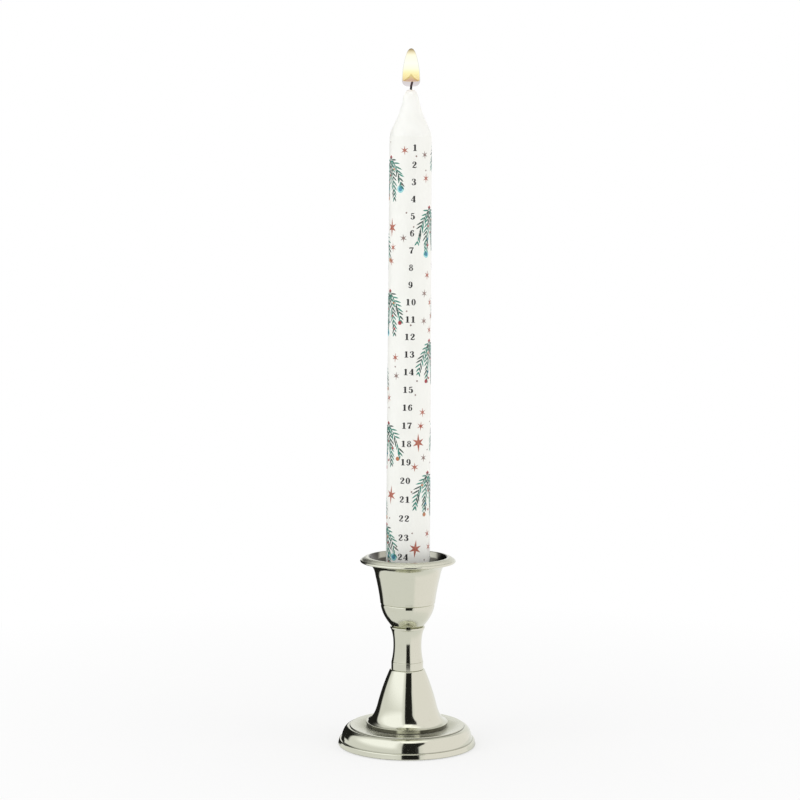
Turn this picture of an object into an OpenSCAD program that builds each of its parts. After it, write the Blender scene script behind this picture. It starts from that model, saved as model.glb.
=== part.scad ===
// Calendar candle in a turned metal candlestick.
// The stand rests on z = 0 and its axis is the Z axis. All sizes are in millimetres.
// The stand is a stack of turned and spun pieces, drawn together by one long bolt.

/* [Foot] */
// Diameter of the foot at its flange
foot_d = 70.8; // [64:0.2:90]
// Height of the flange's upper edge above the table
foot_flange_h = 3.2; // [3:0.1:4]
// Width of the narrow ledge between the flange and the round shoulder
foot_ledge = 1.6; // [1.2:0.1:3]
// Width of the round shoulder, from the ledge in to its crest
foot_shoulder_w = 4.4; // [2.5:0.1:5]
// Height of the shoulder's crest above the table
foot_crest_h = 9.8; // [8:0.1:13]
// Height of the small step from the crest up to the edge of the dish
foot_step_h = 0.6; // [0.3:0.1:1]
// How far the dish falls from that edge to the seat of the bell
foot_dish_drop = 0.4; // [0:0.1:1]
// Height of the raised hub inside the bell
foot_hub_h = 2.4; // [1.5:0.1:3]
// Thickness of the spun sheet of the foot
foot_wall = 1.2; // [0.8:0.1:1.6]

/* [Underside] */
// Thickness of the felt
felt_t = 1.0; // [0.8:0.1:1.4]
// How far the felt stands in from the edge of the foot
felt_margin = 3; // [2:0.1:6]
// How far the felt stands out below the metal
felt_proud = 0.4; // [0.2:0.1:0.7]
// Diameter of the cast weight
weight_d = 54; // [40:1:56]
// Thickness of the weight's broad disc
weight_disc_t = 4; // [2.5:0.1:4.5]

/* [Bell] */
// Diameter of the bell at its lower edge
bell_bottom_d = 42; // [38:0.2:48]
// Diameter of the bell at its upper edge
bell_top_d = 18; // [17:0.2:24]
// Height of the bell
bell_h = 29.5; // [24:0.5:50]
// Height of the thick rim at the bell's lower edge
bell_rim_h = 2.2; // [1:0.1:2.6]
// Height of the wide flare at the bell's lower edge
bell_flare_h = 10.6; // [8:0.1:14]
// Diameter of the bell where the flare ends
bell_flare_d = 30.6; // [28:0.2:33]
// Thickness of the spun sheet of the bell
bell_wall = 1.1; // [0.8:0.1:1.6]

/* [Stem] */
// Diameter of the plain collar on the bell
collar_d = 16.4; // [15:0.1:17]
// Height of the collar
collar_h = 4.1; // [3:0.1:8]
// Height of the waisted spool
spool_h = 18.1; // [12:0.1:40]
// Diameter of the spool at its lower edge
spool_bottom_d = 16.2; // [15.6:0.1:17]
// Diameter of the spool at its waist
spool_waist_d = 14.4; // [13:0.1:15.4]
// Diameter of the flange at the top of the spool
spool_top_d = 17.8; // [16.6:0.1:22]
// Diameter of the spigots that centre the stem pieces in each other
stem_spigot_d = 10; // [9:0.1:11]
// Length of those spigots
stem_spigot_len = 2.2; // [1.5:0.1:3]

/* [Bowl] */
// Diameter of the bowl where it sits on the spool
bowl_bottom_d = 16; // [15:0.1:17.4]
// Diameter of the bowl at its upper edge
bowl_top_d = 27.5; // [26:0.1:34]
// Height of the bowl
bowl_h = 12.2; // [11.5:0.1:20]

/* [Nozzle] */
// Diameter of the nozzle at its lower edge
nozzle_bottom_d = 28.2; // [27:0.1:34]
// Diameter of the nozzle's neck, just below the lip
nozzle_neck_d = 33.4; // [32:0.1:36]
// Diameter over the lip
nozzle_lip_d = 49; // [45:0.1:60]
// Diameter of the crest, where the lip turns down into the cup
nozzle_crest_d = 40.6; // [38.5:0.1:43]
// Height of the nozzle from the bowl to the crest
nozzle_h = 24; // [21.5:0.1:36]
// Height of the crest above the neck
nozzle_neck_drop = 9.6; // [8:0.1:11]
// How far the lip droops from the crest to its edge
nozzle_lip_droop = 1.7; // [0.8:0.1:3]
// Thickness of the lip
nozzle_lip_t = 1.1; // [0.8:0.1:1.6]
// Depth of the cup around the candle, from the crest
nozzle_cup_depth = 9.4; // [7:0.1:10.5]
// Height of the socket's floor above the nozzle's lower edge
nozzle_floor_h = 0.6; // [0.4:0.1:4]
// Diameter of the spigot that turns in the bowl
nozzle_spigot_d = 18; // [15:0.1:19]
// Length of that spigot
nozzle_spigot_len = 3.9; // [3:0.1:5]

/* [Candle] */
// Length of the candle from its foot to its wax tip
candle_len = 260; // [150:5:300]
// Diameter of the candle at its foot, over the printed film
candle_foot_d = 22.6; // [21:0.1:23]
// Diameter of the candle at its shoulder
candle_shoulder_d = 21.2; // [19:0.1:21.6]
// Length of the drawn-in end above the shoulder
candle_end_len = 21.3; // [15:0.1:30]
// Diameter of the blunt tip
candle_tip_d = 7.6; // [6:0.1:9]
// Thickness of the dipped outer coat of white wax
coat_t = 0.8; // [0.5:0.1:1.5]
// Thickness of the printed film
film_t = 0.1; // [0.06:0.01:0.2]
// Bare wax between the candle's foot and the film
film_foot_margin = 2; // [1:0.5:10]
// Bare wax between the film and the shoulder
film_top_margin = 1.5; // [1:0.5:10]
// Width of the open butt joint at the back of the film
film_joint_w = 0.2; // [0.1:0.1:1]
// Chamfer around the candle's foot
candle_chamfer = 0.8; // [0.3:0.1:1.5]

/* [Wick and flame] */
// Diameter of the braided wick
wick_d = 1.2; // [1:0.1:2]
// Straight stub of wick above the tip
wick_stub_h = 0.5; // [0.3:0.1:2]
// Radius of the bend in the burnt end
wick_bend_r = 9; // [8:0.5:12]
// Angle of that bend
wick_bend_angle = 24; // [12:1:28]
// Height of the flame
flame_h = 18.9; // [12:0.1:24]
// Greatest diameter of the flame
flame_d = 9.2; // [7:0.1:12]
// Height of the flame's lower end above the tip
flame_gap = 1.7; // [1.2:0.1:3]

/* [Fasteners] */
// Diameter of the bolt through the stand
bolt_d = 6; // [5:0.5:6]
// Diameter of the bolt's cheese head
bolt_head_d = 10; // [9:0.1:10.6]
// Height of the bolt's head
bolt_head_h = 3.6; // [3:0.1:3.9]
// Pitch of the bolt's thread
bolt_pitch = 1; // [0.8:0.1:1.25]
// Length of the threaded end
bolt_thread_len = 12; // [8:1:20]
// Width of the nut across its flats
nut_af = 10; // [9:0.5:11]
// Height of the nut
nut_h = 3.2; // [2.6:0.1:3.4]
// Diameter of the plain washer
washer_d = 16; // [13:0.5:17]
// Thickness of the plain washer
washer_t = 1.2; // [0.8:0.1:1.4]
// Thickness of the spring washer
spring_washer_t = 1.4; // [1:0.1:1.6]

/* [Fits] */
// Radial clearance of the nozzle's spigot in the bowl
turning_clearance = 0.05; // [0.02:0.01:0.1]
// Radial clearance of the candle in its socket
socket_clearance = 0.15; // [0.1:0.01:0.3]
// Radial clearance of the bolt in its holes
bolt_clearance = 0.2; // [0.1:0.05:0.4]
// Radial clearance of a fixed spigot in its recess
spigot_clearance = 0.05; // [0.02:0.01:0.1]
// Thin gap left between faces that are bonded or cast together
bond_gap = 0.02; // [0.01:0.01:0.05]

/* [Hidden] */

$fn = 96;
steel = [0.82, 0.81, 0.76];
wax = [0.97, 0.97, 0.93];
curve_steps = 14;
edge = 0.35;
cut_over = 1;

// Foot and what it holds
foot_r = foot_d / 2;
flange_slant = 0.5;
flange_round = 0.6;
shoulder_r = foot_r - foot_ledge;
crest_r = shoulder_r - foot_shoulder_w;
dish_edge_z = foot_crest_h + foot_step_h;
seat_z = dish_edge_z - foot_dish_drop;
bell_r = bell_bottom_d / 2;
bell_undercut = 0.3;
flare_r = bell_flare_d / 2;
flare_toe = [flare_r + (bell_r - flare_r) * 0.36, seat_z + bell_flare_h * 0.29];
hub_gap = 0.3;
hub_r = flare_toe[0] - bell_wall - hub_gap;
hub_z = seat_z + foot_hub_h;
bolt_hole_r = bolt_d / 2 + bolt_clearance;
backing_t = foot_flange_h - foot_wall - felt_t - bond_gap;
backing_r = foot_r - foot_wall - hub_gap;
backing_top = felt_t + backing_t;

// Stack of bell, collar, spool, bowl and nozzle
collar_z = seat_z + bell_h;
spool_z = collar_z + collar_h;
bowl_z = spool_z + spool_h;
nozzle_z = bowl_z + bowl_h;
crest_z = nozzle_z + nozzle_h;
neck_z = crest_z - nozzle_neck_drop;
trough_z = crest_z - nozzle_cup_depth;
socket_z = nozzle_z + nozzle_floor_h;
socket_r = candle_foot_d / 2 + socket_clearance;
spigot_r = stem_spigot_d / 2;
spigot_end_gap = 0.2;

// Clamping stack under the foot, from the backing disc upward
weight_gap = 0.4;
bolt_proud = 0.4;
bolt_end_z = backing_top + weight_gap;
nut_z = bolt_end_z + bolt_proud;
spring_washer_z = nut_z + nut_h;
washer_z = spring_washer_z + spring_washer_t;
weight_web_z = washer_z + washer_t;
weight_top_z = hub_z - foot_wall - bond_gap;
weight_boss_r = hub_r - foot_wall - hub_gap;
weight_disc_top = foot_crest_h - foot_wall - weight_gap;
bolt_seat_z = nozzle_z - nozzle_spigot_len - spigot_end_gap - bolt_head_h;

// Candle
candle_top_z = socket_z + candle_len;
candle_shoulder_z = candle_top_z - candle_end_len;
wick_r = wick_d / 2;
stub_top_z = candle_top_z + wick_stub_h;

// Point of a curve from a to c, pulled towards b
function curve_point(a, b, c, t) = (1 - t) * (1 - t) * a + 2 * t * (1 - t) * b + t * t * c;

// Points of that curve, both ends included
function curve(a, b, c) = [for (i = [0 : curve_steps]) curve_point(a, b, c, i / curve_steps)];

// A list in the opposite order
function backwards(list) = [for (i = [len(list) - 1 : -1 : 0]) list[i]];

// Direction to the left of the stretch from a to b
function left_of(a, b) = let (d = (b - a) / norm(b - a)) [-d[1], d[0]];

// A path moved to its left by w, with mitred corners
function side_path(path, w) =
    [for (i = [0 : len(path) - 1])
        let (n1 = left_of(path[max(i - 1, 0)], path[max(i, 1)]),
             n2 = left_of(path[min(i, len(path) - 2)], path[min(i + 1, len(path) - 1)]))
        path[i] + w * (n1 + n2) / (1 + n1 * n2)];

// Radius of the candle's dipped coat at a height above the candle's foot
function coat_radius(h) =
    let (foot = candle_foot_d / 2 - film_t, shoulder = candle_shoulder_d / 2 - film_t)
    foot + (shoulder - foot) * h / (candle_len - candle_end_len);

// Turned piece from a half outline of [radius, height] points
module turned(outline) {
    rotate_extrude() polygon(outline);
}

// Hole along the axis for the long bolt, cut right through a piece that is h high
module bolt_hole(z, h) {
    translate([0, 0, z - cut_over]) cylinder(r = bolt_hole_r, h = h + 2 * cut_over);
}

// Soft disc under the foot
module felt_pad() {
    color("darkgreen") cylinder(r = foot_r - felt_margin, h = felt_t);
}

// Stiff disc that closes the foot and carries the felt
module backing_disc() {
    color("peru")
        translate([0, 0, felt_t + bond_gap / 2])
            cylinder(r = backing_r, h = backing_t);
}

// Cast weight, clamped under the foot's hub, with a pocket for the washers and the nut
module cast_weight() {
    pocket_room = 1;
    pocket_r = washer_d / 2 + pocket_room;
    color("dimgray") difference() {
        union() {
            translate([0, 0, weight_disc_top - weight_disc_t]) cylinder(d = weight_d, h = weight_disc_t);
            translate([0, 0, weight_disc_top - weight_disc_t])
                cylinder(r = weight_boss_r, h = weight_top_z - weight_disc_top + weight_disc_t);
        }
        cylinder(r = pocket_r, h = weight_web_z);
        bolt_hole(0, hub_z);
    }
}

// Spun foot: slanted flange, ledge, round shoulder, a small step up to the dish, and a raised hub
module foot() {
    dish_edge_round = 0.2;
    flange_top_r = foot_r - flange_slant;
    flange = curve([flange_top_r, foot_flange_h - flange_round],
                   [flange_top_r - 0.1, foot_flange_h],
                   [flange_top_r - flange_round, foot_flange_h]);
    shoulder = curve([shoulder_r, foot_flange_h],
                     [shoulder_r, foot_crest_h],
                     [crest_r, foot_crest_h]);
    hub = [[bell_r, seat_z], [hub_r, seat_z], [hub_r, hub_z], [bolt_hole_r, hub_z]];
    inner = side_path(concat([[foot_r, felt_proud], [foot_r, foot_flange_h]], shoulder, hub), foot_wall);
    outer = concat([[foot_r - edge, felt_proud], [foot_r, felt_proud + edge]],
                   flange,
                   shoulder,
                   [[crest_r, dish_edge_z - dish_edge_round],
                    [crest_r - dish_edge_round, dish_edge_z]],
                   hub);
    color(steel) turned(concat(outer, backwards(inner)));
}

// Spun bell: a tall cone that flares out at its lower edge, where it is rolled into a thick rim
module bell() {
    rim_steps = 3;
    flare = [flare_r, seat_z + bell_flare_h];
    cone_pull = flare + [-2.4, 9.7];
    top = [bell_top_d / 2, collar_z - edge];
    low = curve([bell_r, seat_z + bell_rim_h], flare_toe, flare);
    high = curve(flare, cone_pull, top);
    side = concat(low, [for (i = [1 : curve_steps]) high[i]]);
    rim = [bell_r - bell_undercut, seat_z];
    lid = [[top[0] - edge, collar_z], [bolt_hole_r, collar_z]];
    inner = concat([[rim[0] - bell_wall, seat_z]],
                   side_path([for (i = [rim_steps : len(side) - 1]) side[i]], bell_wall),
                   [[bolt_hole_r, collar_z - bell_wall]]);
    color(steel) turned(concat([rim], side, lid, backwards(inner)));
}

// Plain ring between the bell and the spool
module collar() {
    color(steel) difference() {
        turned([[0, collar_z], [collar_d / 2 - edge, collar_z], [collar_d / 2, collar_z + edge],
                [collar_d / 2, spool_z - edge], [collar_d / 2 - edge, spool_z], [0, spool_z]]);
        bolt_hole(collar_z, collar_h);
        translate([0, 0, spool_z - stem_spigot_len - spigot_end_gap])
            cylinder(r = spigot_r + spigot_clearance, h = collar_h);
    }
}

// Waisted spool, with a spigot below and a recess above
module spool() {
    flange_t = 0.7;
    waist = [spool_waist_d / 2, spool_z + spool_h * 0.5];
    low_pull = [waist[0] - 0.1, spool_z + spool_h * 0.25];
    high_pull = [waist[0] + 0.1, bowl_z - 3.4];
    flange = [spool_top_d / 2, bowl_z - flange_t];
    low = curve([spool_bottom_d / 2, spool_z], low_pull, waist);
    high = curve(waist, high_pull, flange);
    color(steel) difference() {
        turned(concat([[0, spool_z - stem_spigot_len], [spigot_r, spool_z - stem_spigot_len],
                       [spigot_r, spool_z]],
                      low,
                      [for (i = [1 : curve_steps]) high[i]],
                      [[flange[0], bowl_z - edge], [flange[0] - edge, bowl_z], [0, bowl_z]]));
        bolt_hole(spool_z - stem_spigot_len, spool_h + stem_spigot_len);
        translate([0, 0, bowl_z - stem_spigot_len - spigot_end_gap])
            cylinder(r = spigot_r + spigot_clearance, h = stem_spigot_len + cut_over);
    }
}

// Solid bowl that carries the nozzle and hides the bolt's head
module bowl() {
    side_pull = [bowl_top_d / 2 - 0.9, bowl_z + bowl_h * 0.45];
    side = curve([bowl_bottom_d / 2, bowl_z], side_pull, [bowl_top_d / 2, nozzle_z - edge]);
    color(steel) difference() {
        turned(concat([[0, bowl_z - stem_spigot_len], [spigot_r, bowl_z - stem_spigot_len],
                       [spigot_r, bowl_z]],
                      side,
                      [[bowl_top_d / 2 - edge, nozzle_z], [0, nozzle_z]]));
        bolt_hole(bowl_z - stem_spigot_len, bowl_h);
        translate([0, 0, bolt_seat_z])
            cylinder(r = bolt_head_d / 2 + bolt_clearance, h = nozzle_z - bolt_seat_z);
        translate([0, 0, nozzle_z - nozzle_spigot_len - spigot_end_gap])
            cylinder(r = nozzle_spigot_d / 2 + turning_clearance, h = nozzle_spigot_len + cut_over);
    }
}

// Nozzle: cup with a drooping lip, a socket for the candle and a spigot that turns in the bowl
module nozzle() {
    z0 = nozzle_z + bond_gap;
    lip_r = nozzle_lip_d / 2;
    crest = [nozzle_crest_d / 2, crest_z];
    neck = [nozzle_neck_d / 2, neck_z];
    lip_edge_z = crest_z - nozzle_lip_droop;
    lip_bevel = 0.3;
    rim_w = 0.9;
    rim_h = 0.7;
    body_pull = [nozzle_bottom_d / 2 + 0.6, z0 + nozzle_h * 0.25];
    under_pull = [neck[0] + 0.9, lip_edge_z - 1];
    lip_pull = [crest[0] + 1.5, crest_z];
    cup_pull = [crest[0] - 4.6, trough_z + 1.2];
    body = curve([nozzle_bottom_d / 2, z0 + edge], body_pull, neck);
    under = curve(neck, under_pull, [lip_r - lip_bevel, lip_edge_z - nozzle_lip_t]);
    lip = concat([[lip_r, lip_edge_z - nozzle_lip_t / 2], [lip_r - lip_bevel, lip_edge_z]],
                 curve([lip_r - 1, lip_edge_z + lip_bevel], lip_pull, crest));
    cup = curve([crest[0] - 0.5, crest_z - 0.25], cup_pull, [socket_r + rim_w, trough_z]);
    color(steel) turned(concat(
        [[0, nozzle_z - nozzle_spigot_len], [nozzle_spigot_d / 2, nozzle_z - nozzle_spigot_len],
         [nozzle_spigot_d / 2, z0], [nozzle_bottom_d / 2 - edge, z0]],
        body,
        [for (i = [1 : curve_steps]) under[i]],
        lip,
        cup,
        [[socket_r, trough_z - rim_h], [socket_r, socket_z], [0, socket_z]]));
}

// Long slotted bolt from the bowl down to the nut, with its thread drawn as plain rings
module tie_bolt() {
    shank_r = bolt_d / 2 - bond_gap;
    groove = bolt_pitch * 0.55;
    half_flat = 0.05;
    slot_w = 1.6;
    rings = floor(bolt_thread_len / bolt_pitch);
    thread = [for (i = [0 : rings - 1]) each [
        [shank_r, bolt_end_z + (i + 0.5 - half_flat) * bolt_pitch],
        [shank_r, bolt_end_z + (i + 0.5 + half_flat) * bolt_pitch],
        [shank_r - groove, bolt_end_z + (i + 1 - half_flat) * bolt_pitch],
        [shank_r - groove, bolt_end_z + (i + 1 + half_flat) * bolt_pitch]]];
    color("silver") difference() {
        turned(concat([[0, bolt_end_z], [shank_r - groove, bolt_end_z]],
                      thread,
                      [[shank_r, bolt_end_z + (rings + 0.5) * bolt_pitch],
                       [shank_r, bolt_seat_z], [bolt_head_d / 2, bolt_seat_z],
                       [bolt_head_d / 2, bolt_seat_z + bolt_head_h - edge],
                       [bolt_head_d / 2 - edge, bolt_seat_z + bolt_head_h],
                       [0, bolt_seat_z + bolt_head_h]]));
        translate([-bolt_head_d, -slot_w / 2, bolt_seat_z + bolt_head_h / 2])
            cube([2 * bolt_head_d, slot_w, bolt_head_h]);
    }
}

// Flat washer under the weight's web
module plain_washer() {
    color("silver") difference() {
        translate([0, 0, washer_z]) cylinder(d = washer_d, h = washer_t);
        bolt_hole(washer_z, washer_t);
    }
}

// Split spring washer
module spring_washer() {
    outer_r = nut_af / 2 + 0.6;
    split_angle = 10;
    color("silver")
        translate([0, 0, spring_washer_z])
            rotate_extrude(angle = 360 - split_angle)
                translate([bolt_hole_r, 0]) square([outer_r - bolt_hole_r, spring_washer_t]);
}

// Thin hexagon nut with chamfered corners
module lock_nut() {
    corner_r = nut_af / 2 / cos(30);
    chamfer_r = corner_r + 0.1;
    chamfer_h = 0.5;
    color("silver") translate([0, 0, nut_z]) difference() {
        intersection() {
            cylinder(r = corner_r, h = nut_h, $fn = 6);
            turned([[0, 0], [nut_af / 2, 0], [chamfer_r, chamfer_h], [chamfer_r, nut_h - chamfer_h],
                    [nut_af / 2, nut_h], [0, nut_h]]);
        }
        translate([0, 0, -cut_over]) cylinder(d = bolt_d, h = nut_h + 2 * cut_over);
    }
}

// Outer outline of the dipped coat, from the chamfered foot up to the wick
function coat_outline() =
    let (shoulder = [coat_radius(candle_len - candle_end_len), candle_shoulder_z],
         tip_r = candle_tip_d / 2,
         tip = [tip_r + 0.2, candle_top_z - candle_end_len * 0.2],
         end_pull = [tip_r + 1.4, candle_shoulder_z + candle_end_len * 0.46],
         round_pull = [tip_r - 0.2, candle_top_z - 0.2],
         end = curve(shoulder, end_pull, tip),
         round_end = curve(tip, round_pull, [wick_r + 0.8, candle_top_z]))
    concat([[coat_radius(0) - candle_chamfer, socket_z],
            [coat_radius(candle_chamfer), socket_z + candle_chamfer]],
           end,
           [for (i = [1 : curve_steps]) round_end[i]],
           [[wick_r + bond_gap, candle_top_z]]);

// Pressed core of soft wax, cast around the wick
module wax_core() {
    outline = side_path(coat_outline(), coat_t + bond_gap);
    top_z = outline[len(outline) - 1][1];
    last = len(outline) - 2;
    color(wax) turned(concat([[wick_r + bond_gap, socket_z], [outline[0][0], socket_z]],
                             [for (i = [1 : last]) outline[i]],
                             [[wick_r + bond_gap, top_z]]));
}

// Dipped outer coat of hard white wax, closed over the tip
module dipped_coat() {
    outer = coat_outline();
    inner = side_path(outer, coat_t);
    last = len(outer) - 1;
    color("white") turned(concat(outer,
                                 [[wick_r + bond_gap, inner[last][1]]],
                                 backwards([for (i = [1 : last - 1]) inner[i]]),
                                 [[inner[0][0], socket_z]]));
}

// Printed film wrapped round the coat, with an open butt joint at the back
module printed_film() {
    low = film_foot_margin;
    high = candle_len - candle_end_len - film_top_margin;
    joint_angle = film_joint_w / candle_foot_d * 2 * 180 / PI;
    color("ivory")
        translate([0, 0, socket_z])
            rotate([0, 0, 90 + joint_angle / 2])
                rotate_extrude(angle = 360 - joint_angle)
                    polygon([[coat_radius(low) + bond_gap, low], [coat_radius(low) + film_t, low],
                             [coat_radius(high) + film_t, high], [coat_radius(high) + bond_gap, high]]);
}

// Straight wick with a bent burnt end, grown all round by extra
module wick_shape(extra) {
    translate([0, 0, socket_z]) cylinder(r = wick_r + extra, h = stub_top_z - socket_z);
    translate([wick_bend_r, 0, stub_top_z])
        rotate([90, 0, 180])
            rotate_extrude(angle = wick_bend_angle)
                translate([wick_bend_r, 0]) circle(r = wick_r + extra);
}

// Braided cotton wick
module wick() {
    color([0.12, 0.1, 0.09]) wick_shape(0);
}

// Flame, a closed teardrop around the wick's end
module flame() {
    low_z = candle_top_z + flame_gap;
    wide = [flame_d / 2, low_z + flame_h * 0.19];
    neck = [flame_d * 0.3, low_z + flame_h * 0.8];
    base_pull = [flame_d / 2, low_z + 0.4];
    side_pull = [flame_d * 0.48, low_z + flame_h * 0.5];
    tip_pull = [flame_d * 0.18, low_z + flame_h];
    base = curve([1.4, low_z], base_pull, wide);
    side = curve(wide, side_pull, neck);
    tip = curve(neck, tip_pull, [0, low_z + flame_h]);
    color("orange") difference() {
        turned(concat([[0, low_z]], base,
                      [for (i = [1 : curve_steps]) side[i]],
                      [for (i = [1 : curve_steps]) tip[i]]));
        wick_shape(bond_gap);
    }
}

felt_pad();
backing_disc();
cast_weight();
foot();
bell();
collar();
spool();
bowl();
tie_bolt();
plain_washer();
spring_washer();
lock_nut();
nozzle();
wax_core();
dipped_coat();
printed_film();
wick();
flame();
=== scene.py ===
import math
import random

import bmesh
import bpy
from mathutils import Matrix, Vector


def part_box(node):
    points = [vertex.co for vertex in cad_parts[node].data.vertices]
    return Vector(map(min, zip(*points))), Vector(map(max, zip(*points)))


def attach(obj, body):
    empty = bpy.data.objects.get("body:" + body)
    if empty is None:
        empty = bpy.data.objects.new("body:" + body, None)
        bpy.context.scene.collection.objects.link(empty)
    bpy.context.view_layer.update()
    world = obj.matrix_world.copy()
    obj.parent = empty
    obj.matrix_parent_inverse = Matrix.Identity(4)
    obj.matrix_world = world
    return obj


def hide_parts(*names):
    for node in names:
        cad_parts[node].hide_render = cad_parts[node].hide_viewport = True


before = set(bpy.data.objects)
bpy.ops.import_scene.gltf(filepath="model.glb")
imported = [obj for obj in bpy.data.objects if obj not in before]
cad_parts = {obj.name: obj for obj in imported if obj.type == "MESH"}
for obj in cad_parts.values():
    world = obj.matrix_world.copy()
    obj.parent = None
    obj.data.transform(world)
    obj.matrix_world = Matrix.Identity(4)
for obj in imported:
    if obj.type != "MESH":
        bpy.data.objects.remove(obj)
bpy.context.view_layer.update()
scene = bpy.context.scene


# Camera. It stands 1.13 m in front of the candle and 0.29 m above the table and looks slightly down
# on the stand, as a long lens does in a small studio. It is rolled by a third of a degree.
camera_place = Vector((0, -1.130, 0.286))
camera_pitch = math.radians(5.45)
camera_yaw = math.radians(0.232)
camera_roll = math.radians(0.345)
lens_mm = 100.5
sensor_mm = 36

ahead = Vector((-math.sin(camera_yaw) * math.cos(camera_pitch),
                math.cos(camera_yaw) * math.cos(camera_pitch),
                -math.sin(camera_pitch)))
level_right = Vector((math.cos(camera_yaw), math.sin(camera_yaw), 0))
level_up = level_right.cross(ahead)
rolled_right = math.cos(camera_roll) * level_right + math.sin(camera_roll) * level_up
rolled_up = math.cos(camera_roll) * level_up - math.sin(camera_roll) * level_right
camera_data = bpy.data.cameras.new("camera")
camera_data.lens = lens_mm
camera_data.sensor_width = sensor_mm
camera = bpy.data.objects.new("camera", camera_data)
camera.matrix_world = Matrix((rolled_right, rolled_up, -ahead)).transposed().to_4x4()
camera.location = camera_place
scene.collection.objects.link(camera)
scene.camera = camera
scene.view_settings.view_transform = "Standard"


# Felt pad. A disc punched from green wool felt, 1 mm thick and glued to the backing board. Its cut edge
# is slightly ragged, and it is the only part of the stand that touches the table.
mm = 0.001
felt_segments = 240
felt_ragged = 0.12 * mm
felt_low, felt_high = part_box("felt_pad")


def placed(name, data):
    """A new object in the scene."""
    piece = bpy.data.objects.new(name, data)
    scene.collection.objects.link(piece)
    return piece


def closed_mesh(name, points, faces):
    """A mesh object with smooth faces that all look outwards."""
    mesh = bpy.data.meshes.new(name)
    mesh.from_pydata(points, [], faces)
    shape = bmesh.new()
    shape.from_mesh(mesh)
    bmesh.ops.recalc_face_normals(shape, faces=shape.faces)
    for face in shape.faces:
        face.smooth = True
    shape.to_mesh(mesh)
    shape.free()
    return placed(name, mesh)


def turned(name, outline, segments=192, wobble=None):
    """A turned piece from a closed half outline of (radius, height) points, in metres."""
    points = []
    rings = []
    for radius, height in outline:
        if radius < 1e-7:
            rings.append([len(points)] * segments)
            points.append((0, 0, height))
            continue
        rings.append(range(len(points), len(points) + segments))
        for i in range(segments):
            angle = 2 * math.pi * i / segments
            r = radius + (wobble(angle, radius, height) if wobble else 0)
            points.append((r * math.cos(angle), r * math.sin(angle), height))
    faces = []
    for k in range(len(rings)):
        low, high = rings[k - 1], rings[k]
        for i in range(segments):
            j = (i + 1) % segments
            corners = list(dict.fromkeys((low[i], low[j], high[j], high[i])))
            if len(corners) > 2:
                faces.append(corners)
    return closed_mesh(name, points, faces)


class Finish:
    """A material whose nodes are added one after another."""

    def __init__(self, name):
        self.material = bpy.data.materials.new(name)
        self.material.use_nodes = True
        self.nodes = self.material.node_tree.nodes
        self.links = self.material.node_tree.links
        self.surface = self.nodes["Principled BSDF"]
        self.output = self.nodes["Material Output"]
        self.place = self.add("ShaderNodeTexCoord").outputs["Object"]

    def put(self, socket, value):
        """Links another node's output to a socket, or sets the socket's own value."""
        if isinstance(value, bpy.types.NodeSocket):
            self.links.new(value, socket)
        else:
            socket.default_value = value

    def add(self, kind, values=(), **settings):
        """A node with its settings, and its inputs set or linked by name or number."""
        node = self.nodes.new(kind)
        for key, value in settings.items():
            setattr(node, key, value)
        for key, value in dict(values).items():
            self.put(node.inputs[key], value)
        return node

    def axes(self):
        """The three coordinates of the place on the piece."""
        return self.add("ShaderNodeSeparateXYZ", {"Vector": self.place}).outputs

    def stretched(self, scale):
        """The place on the piece, scaled apart along each axis."""
        return self.add("ShaderNodeMapping", {"Vector": self.place, "Scale": scale}).outputs["Vector"]

    def noise(self, scale, detail=3.0, vector=None, rough=0.5):
        return self.add("ShaderNodeTexNoise", {"Vector": vector or self.place, "Scale": scale,
                                               "Detail": detail, "Roughness": rough}).outputs["Fac"]

    def sums(self, operation, first, *others):
        """One operation on a value, or on two or more of them in turn."""
        for other in others or (0.0,):
            first = self.add("ShaderNodeMath", {0: first, 1: other}, operation=operation).outputs[0]
        return first

    def spread(self, value, low, high, to_low=0.0, to_high=1.0):
        """The value brought from one range to another, and held inside it."""
        return self.add("ShaderNodeMapRange", {"Value": value, "From Min": low, "From Max": high,
                                               "To Min": to_low, "To Max": to_high}).outputs["Result"]

    def blend(self, share, first, second):
        """A colour between two colours."""
        return self.add("ShaderNodeMix", {0: share, 6: first, 7: second}, data_type="RGBA").outputs[2]

    def colour(self, value):
        self.put(self.surface.inputs["Base Color"], value)

    def drive(self, name, value):
        self.links.new(value, self.surface.inputs[name])

    def fix(self, **values):
        """Values that are the same all over, set on the shader's own sockets."""
        for key, value in values.items():
            self.surface.inputs[key.replace("_", " ")].default_value = value

    def relief(self, height, depth, strength=1.0, under=None):
        """Fine relief of a given depth in metres."""
        values = {"Height": height, "Distance": depth, "Strength": strength}
        if under:
            values["Normal"] = under
        return self.add("ShaderNodeBump", values).outputs["Normal"]

    def show(self, share, first, second):
        """Makes the surface a mix of two shaders."""
        mixed = self.add("ShaderNodeMixShader", {0: share, 1: first, 2: second})
        self.links.new(mixed.outputs[0], self.output.inputs["Surface"])


def give(piece, material, body, slot, *replaced):
    """Gives a new piece its material, the body it rides on and the nodes it stands for. Its slot is not used.
    """
    piece.data.materials.append(material)
    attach(piece, body)
    if replaced:
        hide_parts(*replaced)


def ragged_edge(angle, radius, height):
    """How far the cut edge of the felt falls short of a true circle."""
    if radius < felt_high.x * 0.97:
        return 0
    return -felt_ragged * (1 + 0.5 * math.sin(23 * angle) + 0.5 * math.sin(61 * angle + 1))


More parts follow.
